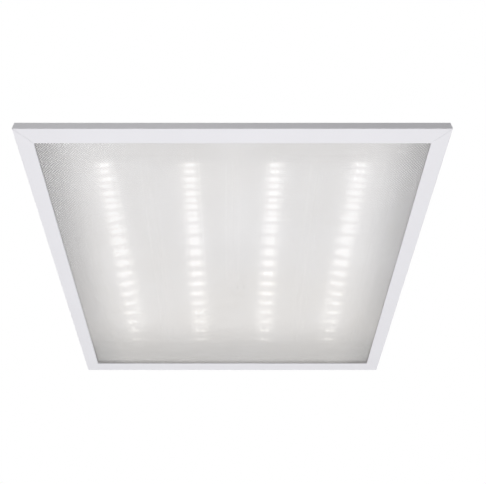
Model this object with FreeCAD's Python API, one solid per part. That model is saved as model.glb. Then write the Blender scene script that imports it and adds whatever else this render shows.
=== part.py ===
import FreeCAD, Part

import math
import os

V = FreeCAD.Vector

# A back-lit ceiling panel for a 600 mm grid. It lies as it is fitted: +Z is up, away from the room,
# the origin is in the middle of the rim's underside, and -Y is the side with the removable end rail.
# All sizes are in millimetres.

# Frame: four mitred lengths of one hollow extrusion
module_side = 595.0
face_width = 24.0
rail_height = 14.4
rail_wall = 1.3
outer_edge_radius = 0.9
lip_edge_radius = 0.4
groove_depth = 12.5
seat_width = 1.5
shelf_setback = 2.5
top_flange_width = 14.0
mitre_gap = 0.3

# Diffuser sheet, in the groove of all four rails
diffuser_thickness = 2.0
diffuser_recess = 2.5
diffuser_edge_gap = 0.5
running_gap = 0.3

# Corner keys and their screws
key_leg = 38.0
key_width = 9.0
key_thickness = 2.0
key_side_gap = 0.5
key_screw_from_corner = 20.0
key_screw_radius = 1.9
key_screw_length = 7.0
key_head_radius = 3.5
key_head_height = 2.2
key_slot_gap = 0.4
key_nut_radius = 3.9
key_nut_height = 2.4
screw_gap = 0.1

# Back pan, pressed from sheet, and what seals and screws it to the frame
sheet = 0.6
seal_thickness = 0.4
seal_width = 8.0
seal_end_gap = 12.0
pan_inset = 1.5
pan_mouth_gap = 1.5
pan_wall_run = 8.0
pan_corner_radius = 22.0
pan_corner_crop = 30.0
pan_screws_per_side = 3
pan_screw_from_corner = 67.5
pan_screw_radius = 1.7
pan_screw_length = 6.0
pan_head_radius = 3.2
pan_head_height = 2.0

# Stiffening beads in the pan
bead_width = 14.0
bead_height = 2.6
bead_draft = 3.0
long_bead_length = 440.0
short_bead_gap = 14.0
outer_bead_x = 236.0

# Holes for a hanging kit, in the pan's corners
hanger_from_edge = 52.5
hanger_hole_radius = 2.5

# Light boards
strip_count = 4
strip_pitch = 127.0
led_count = 16
led_pitch = 28.0
led_plane = 24.0
led_length = 3.5
led_width = 2.8
led_height = 0.8
board_width = 20.0
board_thickness = 1.0
board_end = 26.0
rivet_radius = 1.5
rivet_head_radius = 3.0
rivet_head_height = 0.9
rivet_tail_radius = 2.3
rivet_tail_height = 0.8
rivet_gap = 0.1
rivet_step_count = 7

# Connectors and inner wires
connector_width = 8.0
connector_length = 12.0
connector_height = 4.0
connector_from_end = 8.0
wire_diameter = 1.4
wire_pair_pitch = 3.2
feed_pair_x = 2.6
feed_bend_radius = 4.0

# Grommet where the wires go through the pan
grommet_bore_radius = 4.8
grommet_seat_radius = 6.5
grommet_lip_radius = 8.4
grommet_lip = 1.2
grommet_gap = 0.1

# Driver housing on the pan
driver_length = 160.0
driver_width = 46.0
feed_from_driver_end = 16.0
driver_wall = 1.8
driver_corner_radius = 2.5
driver_top_chamfer = 1.2
base_height = 14.0
cover_height = 16.0
lip_depth = 3.0
lip_wall = 1.2
ear_length = 10.0
ear_width = 14.0
ear_thickness = 2.5
ear_x = 15.0
ear_screw_radius = 1.7
ear_head_radius = 3.2
ear_head_height = 2.0
ear_screw_length = 6.5
feed_hole_radius = 9.2

# Wiring compartment and its hinged cover
compartment_length = 46.0
knuckle_radius = 2.4
pin_radius = 1.0
pin_gap = 0.05
lid_knuckle_length = 8.0
middle_knuckle_length = 13.4
outer_knuckle_length = 5.0
knuckle_web = 2.8
lift_tab_width = 12.0
lift_tab_reach = 2.0
lift_tab_height = 1.6
inlet_radius = 4.5
inlet_height = 7.8

# Cord clamp in the compartment
clamp_from_end = 9.0
clamp_width = 34.0
clamp_depth = 6.0
clamp_height = 4.0
clamp_seat = 9.8
clamp_arch_radius = 4.8
clamp_screw_x = 13.0
clamp_post_radius = 3.0
clamp_screw_radius = 1.4
clamp_head_radius = 2.6
clamp_head_height = 1.6
clamp_screw_length = 8.0

# Driver circuit board and what stands on it
circuit_width = 38.0
circuit_thickness = 1.6
circuit_lift = 4.0
circuit_from_mains_end = 22.0
circuit_from_far_end = 4.0
circuit_post_radius = 2.5
circuit_post_x = 15.0
circuit_post_inset = 4.0
transformer_length = 24.0
transformer_width = 26.0
transformer_height = 17.0
transformer_gap = 2.5
bobbin_wall = 4.0
capacitor_radius = 6.2
capacitor_length = 20.0
capacitor_from_far_end = 20.0
capacitor_pitch = 14.0
choke_outer_radius = 9.5
choke_inner_radius = 3.8
choke_height = 6.0
choke_chamfer = 1.2
choke_gap = 2.4

# Terminal block, its three release buttons and the earth strap
terminal_width = 26.0
terminal_depth = 16.0
terminal_height = 13.0
terminal_from_board_end = 2.0
terminal_chamfer = 2.0
pole_count = 3
pole_pitch = 8.0
pole_hole_radius = 1.3
pole_hole_depth = 3.0
pole_hole_height = 8.0
button_width = 3.6
button_depth = 4.6
button_height = 5.0
button_proud = 1.5
button_travel = 1.2
button_floor_gap = 0.5
button_from_front = 6.0
strap_thickness = 0.8
strap_width = 8.0
strap_foot = 7.5
strap_gap = 0.4
strap_step = 1.5
earth_screw_radius = 1.7
earth_head_radius = 2.8
earth_head_height = 1.8
earth_screw_length = 6.0

# How many sides the small round pieces have, and flats the rounded corners
shank_side_count = 8
head_side_count = 12
ring_side_count = 16
edge_flat_count = 2
corner_flat_count = 4
pan_corner_flat_count = 6
bend_flat_count = 4

# Heights and places worked out from the sizes above
half_side = module_side / 2
seat_height = diffuser_recess - running_gap
diffuser_top = diffuser_recess + diffuser_thickness
shelf_bottom = diffuser_top + running_gap
shelf_top = shelf_bottom + rail_wall
flange_underside = rail_height - rail_wall
pan_flange_bottom = rail_height + seal_thickness
pan_flange_top = pan_flange_bottom + sheet
board_bottom = led_plane + led_height
pan_inner_top = board_bottom + board_thickness
pan_outer_top = pan_inner_top + sheet
pan_mouth = half_side - top_flange_width - pan_mouth_gap
pan_crown = pan_mouth - pan_wall_run
flange_middle = half_side - (pan_inset + top_flange_width) / 2
pan_screw_reach = half_side - pan_screw_from_corner
hanger_reach = half_side - hanger_from_edge
led_span = (led_count - 1) * led_pitch
board_half_length = led_span / 2 + board_end
connector_y = board_half_length - connector_from_end
feed_y = connector_y
driver_end_y = feed_y + feed_from_driver_end
wire_height = board_bottom - connector_height / 2
key_top = flange_underside - running_gap
key_outer = half_side - rail_wall - key_side_gap
key_line = key_outer - key_width / 2
key_screw_along = half_side - key_screw_from_corner
base_floor_top = pan_outer_top + driver_wall
base_top = pan_outer_top + base_height
lid_bottom = base_top + running_gap
housing_top = base_top + cover_height
mains_end_y = driver_end_y - driver_length
split_y = mains_end_y + compartment_length
circuit_bottom = base_floor_top + circuit_lift
circuit_top = circuit_bottom + circuit_thickness
circuit_start_y = mains_end_y + circuit_from_mains_end
circuit_end_y = driver_end_y - circuit_from_far_end
choke_from_mains_end = compartment_length + running_gap + driver_wall + choke_gap + choke_outer_radius
transformer_from_choke = choke_outer_radius + transformer_gap + transformer_length / 2
transformer_from_mains_end = choke_from_mains_end + transformer_from_choke
hinge_y = split_y
hinge_z = housing_top + knuckle_radius + running_gap
terminal_front_y = circuit_start_y + terminal_from_board_end
terminal_top = circuit_top + terminal_height
inlet_z = pan_outer_top + inlet_height
clamp_y = mains_end_y + clamp_from_end
clamp_bottom = pan_outer_top + clamp_seat
strap_face_y = circuit_start_y - strap_step
strap_hole_y = strap_face_y - strap_foot / 2
earth_x = (pole_count - 1) / 2 * pole_pitch
strip_places = [(index - (strip_count - 1) / 2) * strip_pitch for index in range(strip_count)]
margin = 1.0


# Shapes that are used again and again


def block(x_range, y_range, z_range):
    """A box between two places on each axis."""
    size = [high - low for low, high in (x_range, y_range, z_range)]
    return Part.makeBox(*size, V(x_range[0], y_range[0], z_range[0]))


def middled(width, depth, z_range, x=0.0, y=0.0):
    """A box of a width and depth about a place in plan."""
    x_range = (x - width / 2, x + width / 2)
    y_range = (y - depth / 2, y + depth / 2)
    return block(x_range, y_range, z_range)


def rod(radius, z_range, x=0.0, y=0.0):
    """An upright cylinder."""
    return Part.makeCylinder(radius, z_range[1] - z_range[0], V(x, y, z_range[0]))


def polygon_ring(side_count, radius, z, x=0.0, y=0.0):
    """A level regular polygon with its corners on a radius and its flats square to the axes."""
    corners = []
    for step in range(side_count):
        angle = (step + 0.5) * 2 * math.pi / side_count
        corners.append(V(x + radius * math.cos(angle), y + radius * math.sin(angle), z))
    return Part.makePolygon([*corners, corners[0]])


def prism(side_count, radius, z_range, x=0.0, y=0.0):
    """An upright regular prism."""
    foot = Part.Face(polygon_ring(side_count, radius, z_range[0], x, y))
    return foot.extrude(V(0, 0, z_range[1] - z_range[0]))


def lying(side_count, radius, x_range, y, z):
    """A regular prism along X."""
    shape = prism(side_count, radius, x_range)
    shape.rotate(V(0, 0, 0), V(0, 1, 0), 90)
    shape.translate(V(0, y, z))
    return shape


def hole(radius, z_range, x=0.0, y=0.0):
    """A cutter for the hole of a screw or a rivet."""
    return prism(shank_side_count, radius, z_range, x, y)


def joined(shapes):
    """Shapes that meet, as one clean solid."""
    return shapes[0].fuse(list(shapes[1:])).removeSplitter()


def mirrored_pair(shape):
    """A shape and its twin across the middle plane."""
    return [shape, shape.mirror(V(0, 0, 0), V(1, 0, 0))]


def quarter_turned(shape, quarters):
    """A shape turned about the middle of the panel by whole quarter turns."""
    turned = shape.copy()
    turned.rotate(V(0, 0, 0), V(0, 0, 1), 90 * quarters)
    return turned


def eased_corner(last_point, point, next_point, radius, flat_count):
    """Places along a corner that is rounded by a few flats."""
    if radius == 0:
        return [point]
    to_last = (last_point - point).normalize()
    to_next = (next_point - point).normalize()
    half_angle = to_last.getAngle(to_next) / 2
    turn = math.pi - 2 * half_angle
    reach = radius / math.tan(half_angle)
    middle_way = (to_last + to_next).normalize()
    centre = point + middle_way * (radius / math.sin(half_angle))
    first = point + to_last * reach - centre
    last = point + to_next * reach - centre
    places = []
    for step in range(flat_count + 1):
        share = step / flat_count
        spoke = first * math.sin((1 - share) * turn) + last * math.sin(share * turn)
        places.append(centre + spoke * (1 / math.sin(turn)))
    return places


def rounded_outline(corners, flat_count):
    """A closed wire through (point, radius) corners, each rounded by its radius."""
    places = []
    for index, (point, radius) in enumerate(corners):
        before = corners[index - 1][0]
        after = corners[(index + 1) % len(corners)][0]
        places += eased_corner(before, point, after, radius, flat_count)
    return Part.makePolygon([*places, places[0]])


def rounded_rectangle(half_x, half_y, radius, z, x=0.0, y=0.0, flat_count=corner_flat_count):
    """A level rounded rectangle about a place in plan."""
    signs = ((-1, -1), (1, -1), (1, 1), (-1, 1))
    corners = [(V(x + a * half_x, y + b * half_y, z), radius) for a, b in signs]
    return rounded_outline(corners, flat_count)


def headed(x, y, seat, head_radius, head_height, radius, length):
    """A pan-head screw pointing down, its head seated at a height."""
    rim = seat + head_height / 2
    top = seat + head_height
    head = prism(head_side_count, head_radius, (seat, rim), x, y)
    low = polygon_ring(head_side_count, head_radius, rim, x, y)
    high = polygon_ring(head_side_count, head_radius * 0.7, top, x, y)
    crown = Part.makeLoft([low, high], True, True)
    shank = prism(shank_side_count, radius, (seat - length, seat), x, y)
    return joined([head, crown, shank])


def bent_path(start, corner, end, radius):
    """Two straight runs joined by a bend of a few short runs."""
    bend = eased_corner(start, corner, end, radius, bend_flat_count)
    return Part.makePolygon([start, *bend, end])


def save(name, shapes):
    """One STEP file for a node, holding one or more separate solids."""
    solids = shapes if isinstance(shapes, list) else [shapes]
    pieces = [piece for shape in solids for piece in shape.Solids]
    shape = pieces[0] if len(pieces) == 1 else Part.makeCompound(pieces)
    shape.exportStep(f"parts/{name}.step")


# Frame


def rail_section():
    """The extrusion's section at the left side: face, groove, hollow and key channel."""

    def corner(inward, z, radius=0.0):
        return V(inward - half_side, -half_side, z), radius

    stop = face_width - groove_depth
    shelf_edge = face_width - shelf_setback
    lip = face_width - rail_wall
    outline = rounded_outline(
        [
            corner(0, 0, outer_edge_radius),
            corner(face_width, 0, lip_edge_radius),
            corner(face_width, seat_height, lip_edge_radius),
            corner(lip, seat_height),
            corner(lip, rail_wall),
            corner(stop + seat_width, rail_wall),
            corner(stop + seat_width, seat_height),
            corner(stop, seat_height),
            corner(stop, shelf_bottom),
            corner(shelf_edge, shelf_bottom),
            corner(shelf_edge, shelf_top),
            corner(rail_wall, shelf_top),
            corner(rail_wall, flange_underside),
            corner(top_flange_width, flange_underside),
            corner(top_flange_width, rail_height),
            corner(0, rail_height, lip_edge_radius),
        ],
        edge_flat_count,
    )
    hollow = rounded_outline(
        [
            corner(rail_wall, rail_wall),
            corner(stop - rail_wall, rail_wall),
            corner(stop - rail_wall, shelf_bottom),
            corner(rail_wall, shelf_bottom),
        ],
        edge_flat_count,
    )
    return Part.Face(outline).cut(Part.Face(hollow))


def mitred_rail(gap):
    """The left rail with both ends mitred, each end set back along its length by a gap."""
    bar = rail_section().extrude(V(0, module_side, 0))
    reach = half_side + margin
    ends = [V(-gap, 0, -margin), V(-gap - reach, -reach, -margin), V(-gap - reach, reach, -margin)]
    wedge = Part.Face(Part.makePolygon([*ends, ends[0]])).extrude(V(0, 0, rail_height + 2 * margin))
    return bar.common(wedge)


def flange_hole(radius, x, y):
    """A cutter for a hole through a rail's top flange."""
    return hole(radius, (flange_underside - margin, rail_height + margin), x, y)


def pan_screw_places():
    """How far along a side each screw of the pan stands."""
    step = 2 * pan_screw_reach / (pan_screws_per_side - 1)
    return [index * step - pan_screw_reach for index in range(pan_screws_per_side)]


def fixed_rail(quarters):
    """A rail that the pan is screwed to: left, right or far."""
    rail = mitred_rail(0.0)
    for y in pan_screw_places():
        rail = rail.cut(flange_hole(pan_screw_radius + screw_gap, -flange_middle, y))
    for y in (-key_screw_along, key_screw_along):
        rail = rail.cut(flange_hole(key_screw_radius + screw_gap, -key_line, y))
    return quarter_turned(rail, quarters)


def end_rail():
    """The near rail, which comes off so that the diffuser can be drawn out."""
    rail = mitred_rail(mitre_gap)
    for y in (-key_screw_along, key_screw_along):
        rail = rail.cut(flange_hole(key_screw_radius + screw_gap, -key_line, y))
    return quarter_turned(rail, 1)


def key_plate():
    """The flat L of a corner key, for the near left corner, before its holes."""
    low = (-key_outer, -key_outer + key_leg)
    side = (-key_outer, -key_outer + key_width)
    levels = (key_top - key_thickness, key_top)
    plate = joined([block(low, side, levels), block(side, low, levels)])
    return plate


def key_hole(x, y):
    """A cutter for a screw hole through a key."""
    levels = (key_top - key_thickness - margin, key_top + margin)
    return hole(key_screw_radius + screw_gap, levels, x, y)


def fixed_key():
    """A corner key of two fixed rails: the far left one."""
    plate = key_plate().cut(key_hole(-key_line, -key_screw_along))
    plate = plate.cut(key_hole(-key_screw_along, -key_line))
    return quarter_turned(plate, 3)


def end_rail_key():
    """A key at the removable rail, with a slot open outwards in that rail's leg."""
    plate = key_plate().cut(key_hole(-key_line, -key_screw_along))
    radius = key_screw_radius + key_slot_gap
    levels = (key_top - key_thickness - margin, key_top + margin)
    slot = hole(radius, levels, -key_screw_along, -key_line)
    mouth = middled(2 * radius, key_width, levels, -key_screw_along, -key_line - key_width / 2)
    return plate.cut(slot.fuse(mouth))


def key_screw(x, y):
    """One screw through a rail's top flange into a key."""
    size = (key_head_radius, key_head_height, key_screw_radius, key_screw_length)
    return headed(x, y, rail_height, *size)


def key_screws():
    """The screws that stay put: both legs of the far keys, one leg of the near ones."""
    far_pair = [key_screw(-key_line, key_screw_along), key_screw(-key_screw_along, key_line)]
    near = key_screw(-key_line, -key_screw_along)
    return [twin for screw in (*far_pair, near) for twin in mirrored_pair(screw)]


def end_rail_screws():
    """The two screws that are slackened to let the end rail go."""
    return mirrored_pair(key_screw(-key_screw_along, -key_line))


def end_rail_nuts():
    """The hexagon nuts under the slotted legs of the near keys."""
    top = key_top - key_thickness - running_gap
    nut = prism(6, key_nut_radius, (top - key_nut_height, top), -key_screw_along, -key_line)
    bore = (top - key_nut_height - margin, top + margin)
    nut = nut.cut(hole(key_screw_radius, bore, -key_screw_along, -key_line))
    return mirrored_pair(nut)


def diffuser():
    """The sheet that fills the groove of the four rails."""
    side = module_side - 2 * (face_width - groove_depth + diffuser_edge_gap)
    return middled(side, side, (diffuser_recess, diffuser_top))


# Back pan


def tapered_tray(mouth, crown, radius, z_low, z_high):
    """A square tray that narrows upwards, its rounded corners about one centre line."""
    flats = pan_corner_flat_count
    top_radius = radius - (mouth - crown)
    low = rounded_rectangle(mouth, mouth, radius, z_low, flat_count=flats)
    high = rounded_rectangle(crown, crown, top_radius, z_high, flat_count=flats)
    return Part.makeLoft([low, high], True, True)


def bead(x, y, length, lift, narrower):
    """One drafted bead standing on the pan's top, as a solid to add or to take away."""
    half_x = bead_width / 2 - narrower
    half_y = length / 2 - narrower
    foot = pan_inner_top + lift
    low = rounded_rectangle(half_x, half_y, half_x * 0.98, foot, x, y)
    top_x = half_x - bead_draft
    top_y = half_y - bead_draft
    high = rounded_rectangle(top_x, top_y, top_x * 0.98, foot + bead_height, x, y)
    return Part.makeLoft([low, high], True, True)


def bead_places():
    """Place and length of each bead: between the boards, beside them and before the driver."""
    between = strip_pitch * (strip_count / 2 - 1)
    places = [(x, 0.0, long_bead_length) for x in (-between, between)]
    places += [(x, 0.0, long_bead_length) for x in (-outer_bead_x, outer_bead_x)]
    start = -long_bead_length / 2
    end = mains_end_y - ear_length - short_bead_gap
    return [*places, (0.0, (start + end) / 2, end - start)]


def pan_flange():
    """The flat border that lies over the rails, its corners cropped clear of the key screws."""
    edge = half_side - pan_inset
    cropped = edge - pan_corner_crop
    corners = []
    for quarter in range(4):
        turn = FreeCAD.Rotation(V(0, 0, 1), 90 * quarter)
        corners.append((turn.multVec(V(edge, -cropped, pan_flange_bottom)), 0.0))
        corners.append((turn.multVec(V(edge, cropped, pan_flange_bottom)), 0.0))
    return Part.Face(rounded_outline(corners, corner_flat_count)).extrude(V(0, 0, sheet))


def rivet_places():
    """Where the boards are riveted, between two lights each time."""
    step = rivet_step_count * led_pitch
    return [(x, y) for x in strip_places for y in (-step, 0.0, step)]


def hanger_places():
    """The four holes for a hanging kit."""
    return [(x, y) for x in (-hanger_reach, hanger_reach) for y in (-hanger_reach, hanger_reach)]


def ear_places():
    """The two screws of the driver housing, in ears at opposite corners."""
    return [
        (ear_x, mains_end_y - ear_length / 2),
        (-ear_x, driver_end_y + ear_length / 2),
    ]


def pan_holes():
    """Cutters for every hole in the pan."""
    top = (pan_inner_top - margin, pan_outer_top + margin)
    flange = (pan_flange_bottom - margin, pan_flange_top + margin)
    holes = [hole(rivet_radius + rivet_gap, top, *place) for place in rivet_places()]
    holes += [rod(hanger_hole_radius, top, *place) for place in hanger_places()]
    holes += [hole(ear_screw_radius + screw_gap, top, *place) for place in ear_places()]
    holes.append(hole(earth_screw_radius + screw_gap, top, earth_x, strap_hole_y))
    holes.append(prism(ring_side_count, grommet_seat_radius, top, 0.0, feed_y))
    for along in pan_screw_places():
        cutter = hole(pan_screw_radius + screw_gap, flange, -flange_middle, along)
        holes += [quarter_turned(cutter, quarters) for quarters in (0, 2, 3)]
    return holes


def back_pan():
    """The pressed tray: sloping walls, a flat crown with beads, and a flange all round."""
    rise = pan_outer_top - pan_flange_top
    slope = math.atan2(pan_wall_run, rise)
    skin = sheet / math.cos(slope)
    outside = tapered_tray(pan_mouth, pan_crown, pan_corner_radius, pan_flange_top, pan_outer_top)
    run_per_height = pan_wall_run / rise
    mouth = pan_mouth - skin
    radius = pan_corner_radius - skin
    low = pan_flange_bottom - margin
    high = pan_inner_top
    mouth_low = mouth + (pan_flange_top - low) * run_per_height
    crown = mouth - (high - pan_flange_top) * run_per_height
    inside = tapered_tray(mouth_low, crown, radius + mouth_low - mouth, low, high)
    shell = outside.fuse(pan_flange())
    raised = [bead(*place, sheet, 0.0) for place in bead_places()]
    sunk = [bead(*place, 0.0, sheet) for place in bead_places()]
    shell = shell.fuse(raised).cut(inside)
    return shell.cut([*sunk, *pan_holes()])


def seal_strips():
    """Thin strips that seal the pan to the three fixed rails."""
    length = module_side - 2 * (pan_inset + pan_corner_crop + seal_end_gap)
    levels = (rail_height, pan_flange_bottom)
    strip = middled(seal_width, length, levels, -flange_middle, 0.0)
    for y in pan_screw_places():
        strip = strip.cut(hole(pan_screw_radius + screw_gap, levels, -flange_middle, y))
    return [quarter_turned(strip, quarters) for quarters in (0, 2, 3)]


def pan_screws():
    """The screws that hold the pan to the three fixed rails."""
    size = (pan_head_radius, pan_head_height, pan_screw_radius, pan_screw_length)
    screws = [headed(-flange_middle, y, pan_flange_top, *size) for y in pan_screw_places()]
    return [quarter_turned(screw, quarters) for quarters in (0, 2, 3) for screw in screws]


# Light boards


def light_board(x):
    """One narrow board, with holes for its three rivets."""
    board = middled(board_width, 2 * board_half_length, (board_bottom, pan_inner_top), x)
    levels = (board_bottom - margin, pan_inner_top + margin)
    for place in rivet_places():
        if place[0] == x:
            board = board.cut(hole(rivet_radius + rivet_gap, levels, *place))
    return board


def lights(x):
    """The row of small square lights on one board."""
    rows = [(index - (led_count - 1) / 2) * led_pitch for index in range(led_count)]
    return [middled(led_length, led_width, (led_plane, board_bottom), x, y) for y in rows]


def rivet(x, y):
    """A push rivet: head under the board, shank through board and pan, tail on the back."""
    head = prism(shank_side_count, rivet_head_radius, (board_bottom - rivet_head_height, board_bottom), x, y)
    shank = prism(shank_side_count, rivet_radius, (board_bottom, pan_outer_top), x, y)
    tail_top = pan_outer_top + rivet_tail_height
    tail = prism(shank_side_count, rivet_tail_radius, (pan_outer_top, tail_top), x, y)
    return joined([head, shank, tail])


def connector_places():
    """The inner boards have a connector at both ends, the outer ones at the near end."""
    near = [(x, -connector_y) for x in strip_places]
    far = [(x, connector_y) for x in strip_places[1:-1]]
    return near + far


def connector(x, y):
    """A low wire connector under a board."""
    levels = (board_bottom - connector_height, board_bottom)
    return middled(connector_width, connector_length, levels, x, y)


def link_wire(index, y):
    """A straight wire along the near end, between the connectors of two neighbours."""
    start = strip_places[index] + connector_width / 2
    end = strip_places[index + 1] - connector_width / 2
    return lying(shank_side_count, wire_diameter / 2, (start, end), y, wire_height)


def feed_wire(side, y):
    """A wire from the driver's circuit board, through the pan, to an inner board's far end."""
    x = side * feed_pair_x / 2
    board_side = side * (strip_places[strip_count // 2] - connector_width / 2)
    start = V(x, y, circuit_bottom)
    path = bent_path(start, V(x, y, wire_height), V(board_side, y, wire_height), feed_bend_radius)
    section = polygon_ring(shank_side_count, wire_diameter / 2, circuit_bottom, x, y)
    return path.makePipeShell([section], True, False, 1)


def wires(offset):
    """All wires of one polarity: two links and two feeds."""
    shift = offset * wire_pair_pitch / 2
    links = [link_wire(index, shift - connector_y) for index in (0, strip_count - 2)]
    return links + [feed_wire(side, shift + feed_y) for side in (-1, 1)]


def feed_grommet():
    """The rubber ring in the pan's wire hole, gripping the sheet in its groove."""
    bottom = pan_inner_top - grommet_lip
    top = pan_outer_top + grommet_lip
    neck = grommet_seat_radius - grommet_gap
    body = prism(ring_side_count, neck, (bottom, top), 0.0, feed_y)
    under = prism(ring_side_count, grommet_lip_radius, (bottom, pan_inner_top), 0.0, feed_y)
    over = prism(ring_side_count, grommet_lip_radius, (pan_outer_top, top), 0.0, feed_y)
    around = (bottom - margin, top + margin)
    bore = prism(ring_side_count, grommet_bore_radius, around, 0.0, feed_y)
    return joined([body, under, over]).cut(bore)


# Driver housing


def rounded_box(x_half, y_range, z_range, corner, edge=0.0):
    """A box with rounded upright edges and, if asked, a chamfered top edge."""
    middle_y = (y_range[0] + y_range[1]) / 2
    half_y = (y_range[1] - y_range[0]) / 2
    outline = rounded_rectangle(x_half, half_y, corner, z_range[0], 0.0, middle_y)
    solid = Part.Face(outline).extrude(V(0, 0, z_range[1] - z_range[0]))
    if edge == 0:
        return solid
    top = [e for e in solid.Edges if e.BoundBox.ZMin > z_range[1] - 1e-6]
    return solid.makeChamfer(edge, top)


def driver_posts():
    """Round posts in the base: four under the circuit board and two for the cord clamp."""
    posts = []
    ends = (split_y + circuit_post_inset, circuit_end_y - circuit_post_inset)
    for x in (-circuit_post_x, circuit_post_x):
        for y in ends:
            levels = (base_floor_top - margin, circuit_bottom)
            posts.append(prism(shank_side_count, circuit_post_radius, levels, x, y))
    for x in (-clamp_screw_x, clamp_screw_x):
        levels = (base_floor_top - margin, clamp_bottom)
        posts.append(prism(shank_side_count, clamp_post_radius, levels, x, clamp_y))
    return posts


def driver_ears():
    """Two fixing ears that stand out of the base's ends."""
    levels = (pan_outer_top, pan_outer_top + ear_thickness)
    ears = []
    for x, y in ear_places():
        ears.append(middled(ear_width, ear_length + 2 * driver_wall, levels, x, y))
    return ears


def driver_base():
    """The lower half of the driver's housing, with its ears, posts, inlet and wire hole."""
    half = driver_width / 2
    ends = (mains_end_y, driver_end_y)
    body = rounded_box(half, ends, (pan_outer_top, base_top), driver_corner_radius)
    body = body.fuse(driver_ears())
    inner_ends = (mains_end_y + driver_wall, driver_end_y - driver_wall)
    levels = (base_floor_top, base_top + margin)
    hollow = block((driver_wall - half, half - driver_wall), inner_ends, levels)
    body = body.cut(hollow).fuse(driver_posts())
    below = (pan_outer_top - margin, base_floor_top + ear_thickness)
    cuts = [hole(ear_screw_radius + screw_gap, below, *place) for place in ear_places()]
    cuts.append(prism(ring_side_count, feed_hole_radius, below, 0.0, feed_y))
    cuts.append(hole(earth_screw_radius + screw_gap, below, earth_x, strap_hole_y))
    inlet_start = V(0, mains_end_y - margin, inlet_z)
    inlet = Part.makeCylinder(inlet_radius, driver_wall + 2 * margin, inlet_start, V(0, 1, 0))
    pilot = (clamp_bottom - clamp_screw_length, clamp_bottom + margin)
    for x in (-clamp_screw_x, clamp_screw_x):
        cuts.append(hole(clamp_screw_radius, pilot, x, clamp_y))
    return body.cut([*cuts, inlet]).removeSplitter()


def knuckle(x_range, forward):
    """One hinge knuckle with its web, in front of the split (+1) or behind it (-1)."""
    barrel = lying(ring_side_count, knuckle_radius, x_range, hinge_y, hinge_z)
    near_face = hinge_y - forward * running_gap
    far_face = near_face - forward * knuckle_web
    web = block(x_range, sorted((near_face, far_face)), (housing_top - margin / 2, hinge_z))
    return barrel.fuse(web)


def hinge_bore(radius):
    """A cutter along the whole hinge line."""
    start = V(-driver_width / 2, hinge_y, hinge_z)
    return Part.makeCylinder(radius, driver_width, start, V(1, 0, 0))


def knuckle_ranges():
    """Where along the hinge the cover's knuckles and the lid's knuckles stand."""
    inner = middle_knuckle_length / 2
    lid_start = inner + running_gap
    lid_end = lid_start + lid_knuckle_length
    outer_start = lid_end + running_gap
    outer_end = outer_start + outer_knuckle_length
    fixed = [(-outer_end, -outer_start), (-inner, inner), (outer_start, outer_end)]
    moving = [(-lid_end, -lid_start), (lid_start, lid_end)]
    return fixed, moving


def driver_cover():
    """The fixed cover over the electronics, with side lips, a partition and hinge knuckles."""
    half = driver_width / 2
    front = split_y + running_gap
    levels = (base_top, housing_top)
    ends = (front, driver_end_y)
    body = rounded_box(half, ends, levels, driver_corner_radius, driver_top_chamfer)
    inner = half - driver_wall
    inner_ends = (front + driver_wall, driver_end_y - driver_wall)
    hollow = block((-inner, inner), inner_ends, (base_top - margin, housing_top - driver_wall))
    body = body.cut(hollow)
    lip_outer = inner - screw_gap
    lip_levels = (base_top - lip_depth, base_top + lip_depth)
    lip = block((lip_outer - lip_wall, lip_outer), inner_ends, lip_levels)
    low = circuit_top + running_gap
    partition = block((-lip_outer, lip_outer), (front, front + driver_wall), (low, base_top + margin))
    knuckles = [knuckle(x_range, -1) for x_range in knuckle_ranges()[0]]
    body = joined([body, *mirrored_pair(lip), partition, *knuckles])
    return body.cut(hinge_bore(pin_radius + pin_gap / 2))


def terminal_cover():
    """The hinged cover over the wiring compartment, with knuckles and a lifting tab."""
    half = driver_width / 2
    ends = (mains_end_y, split_y - running_gap)
    levels = (lid_bottom, housing_top)
    body = rounded_box(half, ends, levels, driver_corner_radius, driver_top_chamfer)
    inner = half - driver_wall
    back = split_y + margin
    under = (lid_bottom - margin, housing_top - driver_wall)
    body = body.cut(block((-inner, inner), (mains_end_y + driver_wall, back), under))
    tab_levels = (lid_bottom, lid_bottom + lift_tab_height)
    tab_ends = (mains_end_y - lift_tab_reach, mains_end_y + driver_wall)
    tab = block((-lift_tab_width / 2, lift_tab_width / 2), tab_ends, tab_levels)
    knuckles = [knuckle(x_range, 1) for x_range in knuckle_ranges()[1]]
    return joined([body, tab, *knuckles]).cut(hinge_bore(pin_radius + pin_gap))


def hinge_pin():
    """The pin through all five knuckles."""
    reach = knuckle_ranges()[0][-1][1]
    return Part.makeCylinder(pin_radius, 2 * reach, V(-reach, hinge_y, hinge_z), V(1, 0, 0))


def cord_clamp():
    """A bar over the mains cord's seat, arched underneath and screwed to two posts."""
    levels = (clamp_bottom, clamp_bottom + clamp_height)
    bar = middled(clamp_width, clamp_depth, levels, 0.0, clamp_y)
    start = V(0, clamp_y - clamp_depth, inlet_z)
    arch = Part.makeCylinder(clamp_arch_radius, 2 * clamp_depth, start, V(0, 1, 0))
    around = (levels[0] - margin, levels[1] + margin)
    places = (-clamp_screw_x, clamp_screw_x)
    holes = [hole(clamp_screw_radius + screw_gap, around, x, clamp_y) for x in places]
    return bar.cut([arch, *holes])


def clamp_screws():
    """The two screws of the cord clamp."""
    size = (clamp_head_radius, clamp_head_height, clamp_screw_radius, clamp_screw_length)
    return mirrored_pair(headed(clamp_screw_x, clamp_y, clamp_bottom + clamp_height, *size))


def driver_screws():
    """The screws in the housing's two ears, down into the pan."""
    size = (ear_head_radius, ear_head_height, ear_screw_radius, ear_screw_length)
    seat = pan_outer_top + ear_thickness
    return [headed(x, y, seat, *size) for x, y in ear_places()]


# Driver electronics


def driver_board():
    """The circuit board on its posts, running under the terminal block."""
    half = circuit_width / 2
    return block((-half, half), (circuit_start_y, circuit_end_y), (circuit_bottom, circuit_top))


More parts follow.
